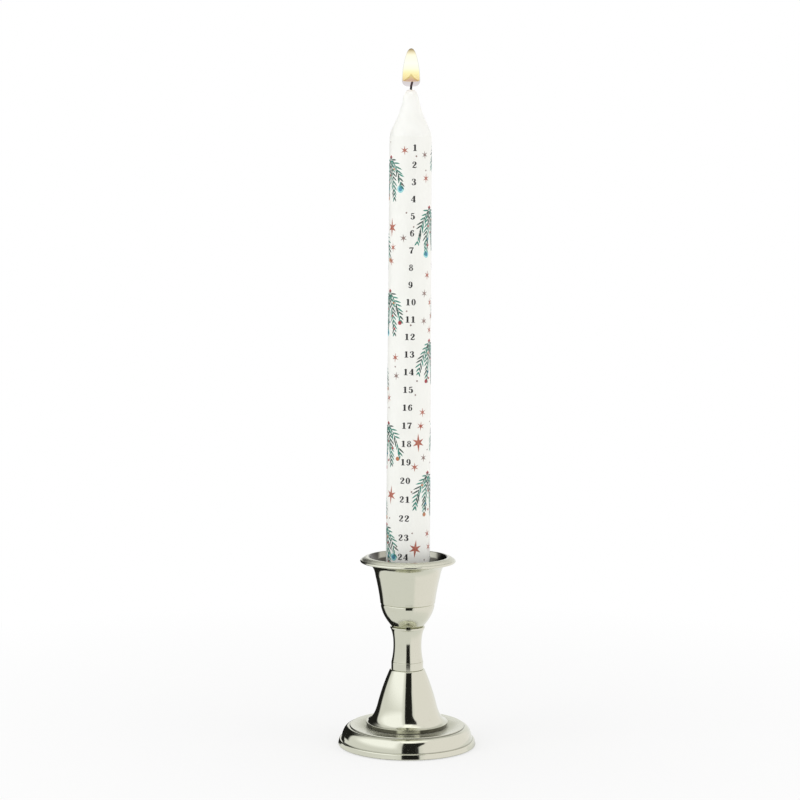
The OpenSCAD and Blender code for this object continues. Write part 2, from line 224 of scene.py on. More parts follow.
felt_green = (0.030, 0.095, 0.058, 1)
felt_shade = (0.014, 0.050, 0.030, 1)
felt = Finish("green_felt")
felt_wool = felt.noise(900, 6, rough=0.7)
felt_hairs = felt.noise(260, 5, felt.stretched((1, 5, 1)), 0.75)
felt.colour(felt.blend(felt.spread(felt_wool, 0.3, 0.7), felt_shade, felt_green))
felt.fix(Roughness=0.95, Sheen_Weight=0.6, Sheen_Roughness=0.5)
felt.drive("Normal", felt.relief(felt_hairs, 0.25 * mm, 0.9, felt.relief(felt_wool, 0.2 * mm, 0.8)))
felt_outline = [(0, felt_low.z)]
felt_outline += [(felt_high.x * share, felt_low.z + rise * mm)
                 for share, rise in ((0.4, 0.03), (0.8, 0), (0.97, 0.02), (0.993, 0.12), (1, 0.4))]
felt_outline += [(felt_high.x, felt_high.z - 0.2 * mm), (felt_high.x * 0.99, felt_high.z), (0, felt_high.z)]
felt_disc = turned("felt_disc", felt_outline, felt_segments, ragged_edge)
give(felt_disc, felt.material, "holder", "felt", "felt_pad")


# Backing disc. A disc of grey-brown board pressed into the foot. It closes the foot and carries the
# felt, and only its cut edge shows around the felt from below.
def finish_node(name, material):
    """Gives a piece of the frame its finish."""
    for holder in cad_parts[name].material_slots:
        holder.link = "OBJECT"
        holder.material = material


board = Finish("backing_board")
board_flecks = board.noise(700, 5, rough=0.65)
board_clouds = board.noise(70, 3)
board.colour(board.blend(board.spread(board_flecks, 0.35, 0.7), (0.24, 0.18, 0.12, 1), (0.33, 0.26, 0.18, 1)))
board.drive("Roughness", board.spread(board_clouds, 0.3, 0.7, 0.8, 0.95))
board.drive("Normal", board.relief(board_flecks, 0.05 * mm))
finish_node("backing_disc", board.material)


# Cast weight. A rough sand-cast disc of grey iron with a boss that fills the hub of the foot. The bolt
# draws it up against the hub, and the washers and the nut lie in its pocket.
iron = Finish("cast_iron")
iron_grain = iron.noise(1400, 5, rough=0.6)
iron_skin = iron.noise(160, 4)
iron_rust = iron.spread(iron.noise(90, 5, rough=0.7), 0.56, 0.70)
iron_grey = iron.blend(iron.spread(iron_skin, 0.3, 0.7), (0.035, 0.036, 0.038, 1), (0.075, 0.074, 0.072, 1))
iron.colour(iron.blend(iron_rust, iron_grey, (0.16, 0.065, 0.028, 1)))
iron.fix(Metallic=0.6)
iron.drive("Roughness", iron.spread(iron_skin, 0.3, 0.7, 0.55, 0.8))
iron.drive("Normal", iron.relief(iron_grain, 0.15 * mm, 0.9, iron.relief(iron_skin, 0.4 * mm, 0.7)))
finish_node("cast_weight", iron.material)


# Bolt, washers and nut. Plain zinc-plated steel, with the faint grey bloom that thin plating gets. The
# bolt runs from a seat in the bowl through the whole stand, and the nut under the weight draws it tight.
zinc = Finish("zinc_plate")
zinc_bloom = zinc.noise(420, 4, rough=0.6)
zinc_lathe = zinc.noise(1, 2, zinc.stretched((60, 60, 4500)))
zinc.colour(zinc.blend(zinc.spread(zinc_bloom, 0.35, 0.7), (0.60, 0.61, 0.62, 1), (0.44, 0.45, 0.46, 1)))
zinc.fix(Metallic=1.0)
zinc.drive("Roughness", zinc.spread(zinc_bloom, 0.3, 0.7, 0.24, 0.42))
zinc.drive("Normal", zinc.relief(zinc_lathe, 0.02 * mm, 0.6))
for zinc_piece in ("tie_bolt", "plain_washer", "spring_washer", "lock_nut"):
    finish_node(zinc_piece, zinc.material)


# Foot. Spun from one brass disc: a slanted flange, a narrow ledge, a round shoulder, a small step up to a
# shallow dish, and a hub under the bell. It is nickel-plated and polished, as all the metal that shows.
foot_low, foot_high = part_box("foot")
bell_low, bell_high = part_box("bell")
foot_edge_r = foot_high.x
foot_flange_top = 3.2 * mm
foot_flange_slant = 0.5 * mm
foot_flange_round = 0.6 * mm
foot_ledge_w = 1.6 * mm
foot_shoulder_w = 4.4 * mm
foot_shoulder_lean = 1.0 * mm
foot_crest_z = 9.8 * mm
foot_step_h = 0.6 * mm
foot_step_round = 0.2 * mm
foot_hub_r = 15.95 * mm
foot_wall = 1.2 * mm
bolt_hole_r = 3.2 * mm
seam_round = 0.3 * mm
corner_shade_h = 0.4 * mm
dish_dullness = 0.42


def curve(a, b, c, steps=16):
    """Points of a curve from a to c that is pulled towards b."""
    points = []
    for i in range(steps + 1):
        t = i / steps
        points.append(tuple((1 - t) ** 2 * a[k] + 2 * t * (1 - t) * b[k] + t * t * c[k] for k in (0, 1)))
    return points


def inside_of(path, wall):
    """A path moved to its left by the thickness of the sheet, with mitred corners."""
    moved = []
    for i, point in enumerate(path):
        before = Vector(path[max(i, 1)]) - Vector(path[max(i, 1) - 1])
        after = Vector(path[i + 1]) - Vector(point) if i + 1 < len(path) else before
        left_before = Vector((-before.y, before.x)).normalized()
        left_after = Vector((-after.y, after.x)).normalized()
        mitre = wall * (left_before + left_after) / (1 + left_before @ left_after)
        moved.append(tuple(Vector(point) + mitre))
    return moved


def softened(outline, size, steps=5, sharpest=20):
    """A closed outline with its corners rounded, and a point close by on each side of every round."""
    rounded = []
    count = len(outline)
    for i in range(count):
        corner = Vector(outline[i])
        back = Vector(outline[i - 1]) - corner
        on = Vector(outline[(i + 1) % count]) - corner
        turn = 180 - math.degrees(back.angle(on))
        on_axis = corner.x < 1e-7
        if turn < sharpest or on_axis:
            rounded.append(tuple(corner))
            continue
        reach = min(size, 0.42 * back.length, 0.42 * on.length)
        start = corner + back.normalized() * reach
        end = corner + on.normalized() * reach
        rounded.append(tuple(corner + back.normalized() * reach * 1.15))
        rounded += curve(start, corner, end, steps)
        rounded.append(tuple(corner + on.normalized() * reach * 1.15))
    return rounded


def nickel_finish(name, darkening=None, haze=None):
    """Polished nickel plate with turning rings, hairlines, smears and a trace of tarnish. Darkening and haze
    are functions that say where its colour is made darker, and where it is dull."""
    nickel = Finish(name)
    x, y, height = nickel.axes()
    squares = nickel.sums("ADD", nickel.sums("MULTIPLY", x, x), nickel.sums("MULTIPLY", y, y))
    radius = nickel.sums("POWER", squares, 0.5)
    across = nickel.add("ShaderNodeCombineXYZ", {0: radius, 1: 0.0, 2: height}).outputs[0]
    rings = nickel.noise(2600, 2, across)
    smears = nickel.noise(70, 4, rough=0.6)
    hairlines = nickel.spread(nickel.noise(900, 2, nickel.stretched((1, 1, 14))), 0.62, 0.72)
    tarnish = nickel.spread(nickel.noise(130, 5, rough=0.7), 0.60, 0.82, 0, 0.35)
    tone = nickel.blend(tarnish, (0.60, 0.605, 0.50, 1), (0.48, 0.45, 0.335, 1))
    gloss = nickel.spread(smears, 0.35, 0.75, 0.045, 0.13)
    gloss = nickel.sums("ADD", gloss, nickel.sums("MULTIPLY", hairlines, 0.05))
    if darkening:
        # Darkened colour: painted shade at the foot's corners and the bell's rim, and the darker inside of
        # the cup.
        dark = darkening(nickel, radius, height, smears)
        tone = nickel.blend(dark, tone, (0.052, 0.050, 0.042, 1))
        gloss = nickel.sums("ADD", gloss, nickel.sums("MULTIPLY", dark, 0.12))
    if haze:
        gloss = nickel.sums("ADD", gloss, haze(nickel, radius, height))
    nickel.colour(tone)
    nickel.drive("Roughness", gloss)
    nickel.fix(Metallic=1.0)
    worked = nickel.relief(rings, 0.002 * mm, 0.35)
    nickel.drive("Normal", nickel.relief(smears, 0.05 * mm, 0.12, worked))
    return nickel.material


def foot_corner_shade(nickel, radius, height, smears):
    """Painted shade in the corner of the step up to the dish and in that of the ledge."""
    share = 0
    for corner, inward, outward, low, strength in (
            (crest_r, 0.12 * mm, 0.35 * mm, foot_crest_z - 0.1 * mm, 0.75),
            (shoulder_r, 0.25 * mm, 0.3 * mm, foot_flange_top - 0.1 * mm, 0.45)):
        far = nickel.spread(radius, corner - inward, corner - inward / 2)
        near = nickel.spread(radius, corner + outward, corner + outward / 2)
        above = nickel.spread(height, low - 0.1 * mm, low)
        below = nickel.spread(height, low + corner_shade_h + 0.15 * mm, low + corner_shade_h, 0, strength)
        share = nickel.sums("ADD", share, nickel.sums("MULTIPLY", far, near, above, below))
    return nickel.sums("MULTIPLY", share, nickel.spread(smears, 0.3, 0.7, 0.6, 1.0))


def dish_haze(nickel, radius, height):
    """Where the buffing wheel doesn't reach: on the dish, more and more towards the bell."""
    inside = nickel.spread(radius, crest_r - 0.3 * mm, bell_high.x + 1 * mm)
    return nickel.sums("MULTIPLY", inside, dish_dullness)


shoulder_r = foot_edge_r - foot_ledge_w
crest_r = shoulder_r - foot_shoulder_w
seat_z = bell_low.z
dish_edge_z = foot_crest_z + foot_step_h
flange_top_r = foot_edge_r - foot_flange_slant
flange = curve((flange_top_r, foot_flange_top - foot_flange_round),
               (flange_top_r - 0.1 * mm, foot_flange_top),
               (flange_top_r - foot_flange_round, foot_flange_top), 12)
shoulder = curve((shoulder_r, foot_flange_top), (shoulder_r - foot_shoulder_lean, foot_crest_z),
                 (crest_r, foot_crest_z), 24)
dish_step = [(crest_r, dish_edge_z - foot_step_round), (crest_r - foot_step_round, dish_edge_z)]
hub = [(bell_high.x, seat_z), (foot_hub_r, seat_z), (foot_hub_r, foot_high.z), (bolt_hole_r, foot_high.z)]
foot_skin = [(foot_edge_r - seam_round, foot_low.z), (foot_edge_r, foot_low.z + seam_round)]
foot_skin += flange + shoulder + dish_step + hub
foot_inside = inside_of([(foot_edge_r, foot_low.z), (foot_edge_r, foot_flange_top)] + shoulder + hub,
                        foot_wall)
foot_piece = turned("spun_foot", softened(foot_skin + foot_inside[::-1], seam_round), 256)
give(foot_piece, nickel_finish("nickel_plate_foot", foot_corner_shade, dish_haze), "holder", "nickel", "foot")


# Bell. A tall cone spun from sheet, which flares out to a rolled rim on the foot's dish. The bolt
# clamps its flat lid between the collar and the hub.
bell_wall = 1.1 * mm
bell_undercut = 0.3 * mm
bell_rim_h = 2.2 * mm
bell_flare_h = 10.6 * mm
bell_flare_r = 15.3 * mm
bell_top_r = 9.0 * mm
toe_out = 0.36
toe_up = 0.29
cone_pull_in = 2.4 * mm
cone_pull_up = 9.7 * mm
lid_edge = 0.35 * mm
shade_gap_middle = 0.8 * mm
shade_gap_half = 5.6 * mm


def bell_rim_shade(nickel, radius, height, smears):
    """Painted shade on the bell's rim, where it stands on the dish. It is left out at the front, above a thin
    line.
    """
    low = nickel.spread(height, seat_z + bell_rim_h, seat_z + 0.85 * bell_rim_h)
    x, y = nickel.axes()[:2]
    aside = nickel.sums("ABSOLUTE", nickel.sums("SUBTRACT", x, shade_gap_middle))
    beside = nickel.spread(aside, shade_gap_half - 0.5 * mm, shade_gap_half + 0.7 * mm)
    behind = nickel.spread(y, -2 * mm, 2 * mm)
    lowest = nickel.spread(height, seat_z + 0.5 * mm, seat_z + 0.25 * mm)
    kept = nickel.sums("MAXIMUM", beside, behind, lowest)
    return nickel.sums("MULTIPLY", low, kept, nickel.spread(smears, 0.3, 0.7, 0.75, 0.97))


bell_r = bell_high.x
flare_top = (bell_flare_r, seat_z + bell_flare_h)
flare_toe = (bell_flare_r + (bell_r - bell_flare_r) * toe_out, seat_z + bell_flare_h * toe_up)
cone_pull = (flare_top[0] - cone_pull_in, flare_top[1] + cone_pull_up)
cone_top = (bell_top_r, bell_high.z - lid_edge)
bell_side = curve((bell_r, seat_z + bell_rim_h), flare_toe, flare_top, 28)
bell_side += curve(flare_top, cone_pull, cone_top, 28)[1:]
bell_skin = [(bell_r - bell_undercut, seat_z)] + bell_side
bell_skin += [(cone_top[0] - lid_edge, bell_high.z), (bolt_hole_r, bell_high.z)]
bell_inside = [(bell_r - bell_undercut - bell_wall, seat_z)] + inside_of(bell_side[6:], bell_wall)
bell_inside += [(bolt_hole_r, bell_high.z - bell_wall)]
bell_piece = turned("spun_bell", softened(bell_skin + bell_inside[::-1], seam_round))
give(bell_piece, nickel_finish("nickel_plate_bell", bell_rim_shade), "holder", "nickel", "bell")


# Collar. A plain ring turned from bar, between the bell and the spool. Its softened edges leave a fine
# dark seam against each neighbour.
spigot_r = 5 * mm
spigot_len = 2.2 * mm
spigot_end_gap = 0.2 * mm
collar_low, collar_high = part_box("collar")
spool_low, spool_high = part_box("spool")
spool_z = spool_low.z + spigot_len
recess_z = spool_low.z - spigot_end_gap
nickel_plate = nickel_finish("nickel_plate")
collar_outline = [(bolt_hole_r, collar_low.z), (collar_high.x, collar_low.z), (collar_high.x, collar_high.z),
                  (spigot_r, collar_high.z), (spigot_r, recess_z), (bolt_hole_r, recess_z)]
collar_piece = turned("turned_collar", softened(collar_outline, seam_round))
give(collar_piece, nickel_plate, "holder", "nickel", "collar")


# Spool. The waisted stem, turned from bar and polished, with a thin flange at its top. A spigot below
# centres it in the collar.
waist_r = 7.2 * mm
spool_foot_r = 8.1 * mm
spool_flange_t = 0.7 * mm
spool_top_z = spool_high.z
waist = (waist_r, (spool_z + spool_top_z) / 2)
spool_flange = (spool_high.x, spool_top_z - spool_flange_t)
spool_h = spool_top_z - spool_z
spool_side = curve((spool_foot_r, spool_z), (waist_r - 0.1 * mm, spool_z + spool_h / 4), waist, 22)
spool_side += curve(waist, (waist_r + 0.1 * mm, spool_top_z - 3.4 * mm), spool_flange, 22)[1:]
spool_outline = [(bolt_hole_r, spool_low.z), (spigot_r, spool_low.z), (spigot_r, spool_z)] + spool_side
spool_outline += [(spool_high.x, spool_top_z), (bolt_hole_r, spool_top_z)]
spool_piece = turned("turned_spool", softened(spool_outline, seam_round * 0.8))
give(spool_piece, nickel_plate, "holder", "nickel", "spool")


# Bowl. A solid turned cup that carries the nozzle. The bolt's head is sunk in it, and the nozzle's
# spigot turns in the bore above the head.
bowl_low, bowl_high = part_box("bowl")
bowl_z = bowl_low.z + spigot_len
bowl_h = bowl_high.z - bowl_z
bowl_foot_r = 8 * mm
bore_r = 9.05 * mm
bore_depth = 4.1 * mm
bore_z = bowl_high.z - bore_depth
head_bore_r = 5.2 * mm
head_depth = 3.6 * mm
head_seat_z = bore_z - head_depth
brow_rise = 1.6 * mm
brow_run = 0.6 * mm
bowl_side = curve((bowl_foot_r, bowl_z), (bowl_high.x - 0.9 * mm, bowl_z + bowl_h * 0.45),
                  (bowl_high.x, bowl_high.z - brow_rise), 30)
bowl_side += curve(bowl_side[-1], bowl_high.xz, (bowl_high.x - brow_run, bowl_high.z), 12)[1:]
bowl_outline = [(bolt_hole_r, bowl_low.z), (spigot_r, bowl_low.z), (spigot_r, bowl_z)] + bowl_side
bowl_outline += [(bore_r, bowl_high.z), (bore_r, bore_z), (head_bore_r, bore_z),
                 (head_bore_r, head_seat_z), (bolt_hole_r, head_seat_z)]
bowl_piece = turned("turned_bowl", softened(bowl_outline, seam_round))
give(bowl_piece, nickel_plate, "holder", "nickel", "bowl")


# Nozzle. The drip cup with its drooping lip, the socket for the candle and the spigot, turned as one
# piece. The inside of the cup is darker and duller, from the crest down to the trough.
nozzle_low, nozzle_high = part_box("nozzle")
nozzle_z = bowl_high.z + 0.02 * mm
crest_z = nozzle_high.z
lip_r = nozzle_high.x
lip_edge_z = crest_z - 1.7 * mm
lip_t = 1.1 * mm
lip_bevel = 0.3 * mm
nozzle_foot_r = 14.1 * mm
nozzle_neck = (16.7 * mm, crest_z - 9.6 * mm)
nozzle_crest = (20.3 * mm, crest_z)
nozzle_spigot_r = 9.0 * mm
trough_z = crest_z - 9.4 * mm
socket_r = 11.45 * mm
socket_z = bowl_high.z + 0.6 * mm
less_dark_side = (13.4 * mm, 15.6 * mm)
less_dark_back = (8 * mm, 6 * mm)
less_dark_from = (trough_z + 6.9 * mm, trough_z + 6.3 * mm)
less_dark_share = 0.42
lip_dullness = 0.22


def cup_darkening(nickel, radius, height, smears):
    """Where the cup is darker and duller: on its inside wall from the crest to the trough, but less so high
    up at the back.
    """
    flat_place = nickel.add("ShaderNodeVectorMath", {0: nickel.place, 1: (1, 1, 0)}, operation="MULTIPLY")
    normal = nickel.add("ShaderNodeTexCoord").outputs["Normal"]
    outward = nickel.add("ShaderNodeVectorMath", {0: normal, 1: flat_place.outputs[0]},
                         operation="DOT_PRODUCT").outputs["Value"]
    inside = nickel.spread(outward, -0.8 * mm, -2.5 * mm)
    above = nickel.spread(height, trough_z - 1 * mm, trough_z - 0.4 * mm)
    x, y = nickel.axes()[:2]
    aside = nickel.spread(nickel.sums("ABSOLUTE", x), *less_dark_side)
    before = nickel.spread(y, *less_dark_back)
    lower = nickel.spread(height, *less_dark_from, less_dark_share)
    kept = nickel.sums("MAXIMUM", aside, before, lower)
    patchy = nickel.spread(smears, 0.3, 0.7, 0.9, 1.0)
    return nickel.sums("MULTIPLY", inside, above, patchy, kept)


def lip_haze(nickel, radius, height):
    """Where fingers and wax have dulled the top of the lip."""
    outer = nickel.spread(radius, nozzle_crest[0], nozzle_crest[0] + 1.2 * mm)
    upper = nickel.spread(height, lip_edge_z + 0.05 * mm, lip_edge_z + 0.3 * mm)
    return nickel.sums("MULTIPLY", outer, upper, lip_dullness)


nozzle_body = curve((nozzle_foot_r, nozzle_z + lid_edge),
                    (nozzle_foot_r + 0.6 * mm, nozzle_z + 6 * mm), nozzle_neck, 30)
nozzle_under = curve(nozzle_neck, (nozzle_neck[0] + 0.9 * mm, lip_edge_z - 1 * mm),
                     (lip_r - lip_bevel, lip_edge_z - lip_t), 26)[1:]
nozzle_lip = [(lip_r, lip_edge_z - lip_t / 2), (lip_r - lip_bevel, lip_edge_z)]
nozzle_lip += curve((lip_r - 1 * mm, lip_edge_z + lip_bevel), (nozzle_crest[0] + 1.5 * mm, crest_z),
                    nozzle_crest, 20)
nozzle_cup = curve((nozzle_crest[0] - 0.5 * mm, crest_z - 0.25 * mm),
                   (nozzle_crest[0] - 4.6 * mm, trough_z + 1.2 * mm), (socket_r + 0.9 * mm, trough_z), 26)
nozzle_outline = [(0, nozzle_low.z), (nozzle_spigot_r, nozzle_low.z), (nozzle_spigot_r, nozzle_z),
                  (nozzle_foot_r - 0.05 * mm, nozzle_z)]
nozzle_outline += nozzle_body + nozzle_under + nozzle_lip + nozzle_cup
nozzle_outline += [(socket_r, trough_z - 0.7 * mm), (socket_r, socket_z), (0, socket_z)]
nozzle_piece = turned("drip_cup", softened(nozzle_outline, seam_round * 0.8), 256)
give(nozzle_piece, nickel_finish("nickel_plate_darkened_cup", cup_darkening, lip_haze), "nozzle", "nickel", "nozzle")


# Candle wax. A core of pressed stearin powder, dipped in harder white wax that closes over the drawn-in
# end. The dip leaves a satin skin with faint runs.
coat_low, coat_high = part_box("dipped_coat")
candle_z = coat_low.z
candle_top_z = coat_high.z
candle_len = candle_top_z - candle_z
end_len = 21.3 * mm
shoulder_z = candle_top_z - end_len
shoulder_reach = 2.4 * mm
shoulder_drop = 0.32 * mm
film_t = 0.1 * mm
coat_t = 0.8 * mm
candle_foot_r = 11.3 * mm
candle_shoulder_r = 10.6 * mm
candle_tip_r = 3.8 * mm
candle_chamfer = 0.8 * mm
wick_r = 0.6 * mm
wick_clearance = 0.02 * mm
wick_edge = 0.8 * mm
wax_round = 0.9 * mm
dip_depth = 0.05 * mm


def film_radius(height):
    """Radius over the printed film at a height above the candle's foot."""
    return candle_foot_r + (candle_shoulder_r - candle_foot_r) * height / (candle_len - end_len)


def dip_runs(angle, radius, height):
    """Slow unevenness of the dipped skin above the shoulder."""
    if height < shoulder_z or height > candle_top_z - 1 * mm:
        return 0
    share = math.sin(math.pi * (height - shoulder_z) / end_len)
    return dip_depth * share * (math.sin(3 * angle + 1) + 0.6 * math.sin(7 * angle + height / mm) - 1)


wax = Finish("white_wax")
wax_clouds = wax.noise(120, 4)
wax_grain = wax.noise(1500, 3)
wax.colour(wax.blend(wax.spread(wax_clouds, 0.3, 0.7), (0.935, 0.94, 0.895, 1), (0.955, 0.96, 0.92, 1)))
wax.drive("Roughness", wax.spread(wax_clouds, 0.3, 0.7, 0.32, 0.46))
wax.fix(Subsurface_Weight=0.25, Subsurface_Radius=(1.0, 0.9, 0.7), Subsurface_Scale=0.6 * mm,
        Specular_IOR_Level=0.35)
wax.surface.subsurface_method = "BURLEY"
wax.drive("Normal", wax.relief(wax_grain, 0.02 * mm, 0.3, wax.relief(wax_clouds, 0.15 * mm, 0.3)))
finish_node("wax_core", wax.material)

coat_foot_r = film_radius(0) - film_t
coat_shoulder = (candle_shoulder_r - film_t, shoulder_z)
drawn_tip = (candle_tip_r + 0.2 * mm, candle_top_z - end_len * 0.2)
drawn_pull = (candle_tip_r + 1.4 * mm, shoulder_z + end_len * 0.46)
round_pull = (candle_tip_r - 0.45 * mm, candle_top_z - 0.75 * mm)
drawn_end = curve(coat_shoulder, drawn_pull, drawn_tip, 30)[4:]
round_start = (candle_shoulder_r - film_t, shoulder_z - shoulder_reach)
coat_skin = [(coat_foot_r - candle_chamfer, candle_z), (film_radius(candle_chamfer) - film_t,
                                                        candle_z + candle_chamfer)]
coat_skin += curve(round_start, coat_shoulder, drawn_end[0], 14)[:-1] + drawn_end
coat_skin += curve(drawn_tip, round_pull, (wick_r + wick_edge, candle_top_z), 16)[1:]
coat_skin += [(wick_r + wick_clearance, candle_top_z)]
coat_inside = inside_of(coat_skin[:-1], coat_t)
coat_outline = coat_skin + [(wick_r + wick_clearance, coat_inside[-1][1])]
coat_outline += coat_inside[-1:0:-1] + [(coat_inside[0][0], candle_z)]
coat_piece = turned("dipped_wax", softened(coat_outline, wax_round, 8), 128, dip_runs)
give(coat_piece, wax.material, "candle", "candle_wax", "dipped_coat")


# Printed film. A thin white sleeve wrapped round the wax and heat-shrunk to its taper. Its two edges
# meet in a butt joint at the back.
film_low, film_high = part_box("printed_film")
film_segments = 256
film_joint = 0.2 * mm
print_r = 11 * mm
film = Finish("printed_film")
film_clouds = film.noise(90, 4)
film_fibres = film.noise(1300, 4, film.stretched((1, 1, 0.35)))
film.colour(film.blend(film.spread(film_clouds, 0.3, 0.7), (0.925, 0.93, 0.88, 1), (0.945, 0.95, 0.905, 1)))
film.drive("Roughness", film.spread(film_clouds, 0.3, 0.7, 0.38, 0.5))
film.fix(Specular_IOR_Level=0.3)
film.drive("Normal", film.relief(film_fibres, 0.015 * mm, 0.35, film.relief(film_clouds, 0.2 * mm, 0.25)))


def on_candle(u, height, lift):
    """A place on the film. u runs round to the right from the front, as on a sleeve of radius print_r."""
    angle = u / print_r
    radius = film_radius(height - candle_z) + lift
    return (radius * math.sin(angle), -radius * math.cos(angle), height)


film_points = []
film_faces = []
film_half = math.pi * print_r - film_joint / 2
film_round_z = shoulder_z - shoulder_reach
film_ring = [(film_low.z, -film_t * 0.8), (film_low.z, -film_t * 0.3), (film_low.z + film_t * 0.4, 0)]
film_ring += [(film_low.z + (film_round_z - film_low.z) * i / 40, 0) for i in range(1, 41)]
for i in range(1, 13):
    share = i / 12
    film_ring.append((film_round_z + (film_high.z - film_round_z) * share,
                      -shoulder_drop * share ** 2 - 0.65 * film_t * max(0, 3 * share - 2)))
film_ring.append((film_high.z, film_ring[-1][1] - 0.15 * film_t))
film_ring += [(film_round_z + (film_high.z - film_round_z) * i / 4,
               -film_t * 0.8 - shoulder_drop * (i / 4) ** 2) for i in (3, 2, 1, 0)]
film_count = len(film_ring)
for i in range(film_segments + 1):
    for height, lift in film_ring:
        film_points.append(on_candle(film_half * (2 * i / film_segments - 1), height, lift))
    if i:
        for k in range(film_count):
            j = (k + 1) % film_count
            low, high = (i - 1) * film_count, i * film_count
            film_faces.append((low + k, low + j, high + j, high + k))
film_faces.append(tuple(range(film_count)))
film_faces.append(tuple(range(film_segments * film_count, (film_segments + 1) * film_count))[::-1])
film_piece = closed_mesh("film_sleeve", film_points, film_faces)
give(film_piece, film.material, "candle", "printed_film", "printed_film")


# Numbers 1 to 24. Printed on the film in black, one for each day, in an upright face with heavy stems
# and fine hairlines. The column leans a little, as the film was wrapped slightly askew.
figure_h = 3.25 * mm
figure_w = 4.1 * mm
figure_step = 2.9 * mm
pair_start = -2.15 * mm
single_start = -1.15 * mm
first_number_z = 305.5 * mm
first_pitch = 8.5 * mm
last_pitch_more = 1.46 * mm
pitch_bend = 2.2
first_angle = math.radians(11)
last_angle = math.radians(-17)
print_depth = 0.02 * mm
print_cut = 0.9 * mm
stem = 0.118
hair = 0.04


def smooth_line(points, steps=7):
    """Points of a smooth line through the given ones. Each point may carry a width after its place."""
    line = []
    for i in range(len(points) - 1):
        a, b, c, d = (Vector(points[min(max(i + k, 0), len(points) - 1)]) for k in (-1, 0, 1, 2))
        for n in range(steps):
            t = n / steps
            line.append(0.5 * (2 * b + t * (c - a) + t * t * (2 * a - 5 * b + 4 * c - d)
                               + t ** 3 * (3 * b - a - 3 * c + d)))
    return line + [Vector(points[-1])]


def pen(*points):
    """Outline of a stroke through (x, y, half width) points."""
    line = smooth_line(points)
    left, right = [], []
    for i, spot in enumerate(line):
        along = line[min(i + 1, len(line) - 1)] - line[max(i - 1, 0)]
        side = Vector((-along.y, along.x)).normalized() * spot.z
        left.append((spot.x + side.x, spot.y + side.y))
        right.append((spot.x - side.x, spot.y - side.y))
    return [left + right[::-1]]


def disc(x, y, r, steps=20):
    """Outline of a round spot."""
    turns = [2 * math.pi * i / steps for i in range(steps)]
    return [[(x + r * math.cos(turn), y + r * math.sin(turn)) for turn in turns]]


def hoop(x, y, rx, ry, inner_rx, inner_ry):
    """Outlines of an oval with an open middle, as two halves."""
    halves = []
    for start in (0, 12):
        turns = [math.pi * (start + i) / 12 for i in range(13)]
        outer = [(x + rx * math.cos(t), y + ry * math.sin(t)) for t in turns]
        inner = [(x + inner_rx * math.cos(t), y + inner_ry * math.sin(t)) for t in turns]
        halves.append(outer + inner[::-1])
    return halves


six = hoop(0.31, 0.33, 0.255, 0.33, 0.075, 0.275)
six += pen((0.145, 0.40, 0.095), (0.16, 0.68, 0.105), (0.28, 0.91, 0.065), (0.40, 0.955, 0.04),
           (0.49, 0.90, 0.04))
six += disc(0.475, 0.84, 0.085)
figures = {
    "0": hoop(0.31, 0.5, 0.275, 0.5, 0.075, 0.445),
    "1": (pen((0.33, 0.02, stem), (0.33, 0.98, stem)) + pen((0.33, 0.955, 0.04), (0.12, 0.83, 0.034))
          + pen((0.10, hair, hair), (0.56, hair, hair))),
    "2": (disc(0.145, 0.75, 0.092)
          + pen((0.095, 0.77, 0.04), (0.16, 0.90, 0.042), (0.30, 0.955, 0.05), (0.45, 0.88, 0.09),
                (0.475, 0.70, 0.112), (0.37, 0.48, 0.09), (0.20, 0.27, 0.06), (0.10, 0.08, 0.04))
          + pen((0.07, 0.08, 0.04), (0.22, 0.115, 0.08), (0.38, 0.075, 0.075), (0.51, 0.10, 0.05),
                (0.555, 0.26, 0.03))),
    "3": (disc(0.145, 0.80, 0.088)
          + pen((0.12, 0.85, 0.04), (0.21, 0.945, 0.042), (0.32, 0.955, 0.046), (0.44, 0.88, 0.09),
                (0.445, 0.68, 0.105), (0.35, 0.56, 0.055), (0.22, 0.525, 0.035))
          + pen((0.22, 0.525, 0.035), (0.37, 0.51, 0.055), (0.475, 0.38, 0.112), (0.465, 0.16, 0.11),
                (0.34, 0.045, 0.05), (0.20, 0.045, 0.042), (0.115, 0.14, 0.04))
          + disc(0.14, 0.19, 0.09)),
    "4": (pen((0.42, 0.94, 0.045), (0.06, 0.30, 0.038)) + pen((0.03, 0.285, hair), (0.60, 0.285, hair))
          + pen((0.43, 0.02, stem), (0.43, 0.985, stem)) + pen((0.24, hair, hair), (0.61, hair, hair))),
    "5": (pen((0.13, 0.915, 0.04), (0.30, 0.89, 0.08), (0.51, 0.945, 0.04))
          + pen((0.145, 0.95, 0.036), (0.145, 0.49, 0.036))
          + pen((0.14, 0.51, 0.035), (0.23, 0.605, 0.042), (0.36, 0.60, 0.06), (0.465, 0.45, 0.112),
                (0.46, 0.19, 0.11), (0.34, 0.045, 0.05), (0.20, 0.045, 0.042), (0.115, 0.14, 0.04))
          + disc(0.14, 0.19, 0.09)),
    "6": six,
    "7": (pen((0.06, 0.91, 0.07), (0.20, 0.895, 0.09), (0.40, 0.895, 0.09), (0.55, 0.94, 0.05))
          + pen((0.07, 0.98, 0.034), (0.06, 0.72, 0.032))
          + pen((0.555, 0.94, 0.038), (0.39, 0.62, 0.065), (0.29, 0.32, 0.105), (0.27, 0.03, 0.118))),
    "8": hoop(0.31, 0.755, 0.215, 0.235, 0.07, 0.175) + hoop(0.31, 0.28, 0.265, 0.285, 0.085, 0.225),
    "9": [[(0.62 - x, 1 - y) for x, y in outline] for outline in six],
}


def slabs(outlines, low, high):
    """A mesh of closed slabs, one for each outline, between two heights."""
    shape = bmesh.new()
    for outline in outlines:
        rims = [[shape.verts.new((x, y, level)) for x, y in outline] for level in (low, high)]
        shape.faces.new(rims[0][::-1])
        shape.faces.new(rims[1])
        for i in range(len(outline)):
            shape.faces.new((rims[0][i - 1], rims[0][i], rims[1][i], rims[1][i - 1]))
    bmesh.ops.recalc_face_normals(shape, faces=shape.faces)
    return shape


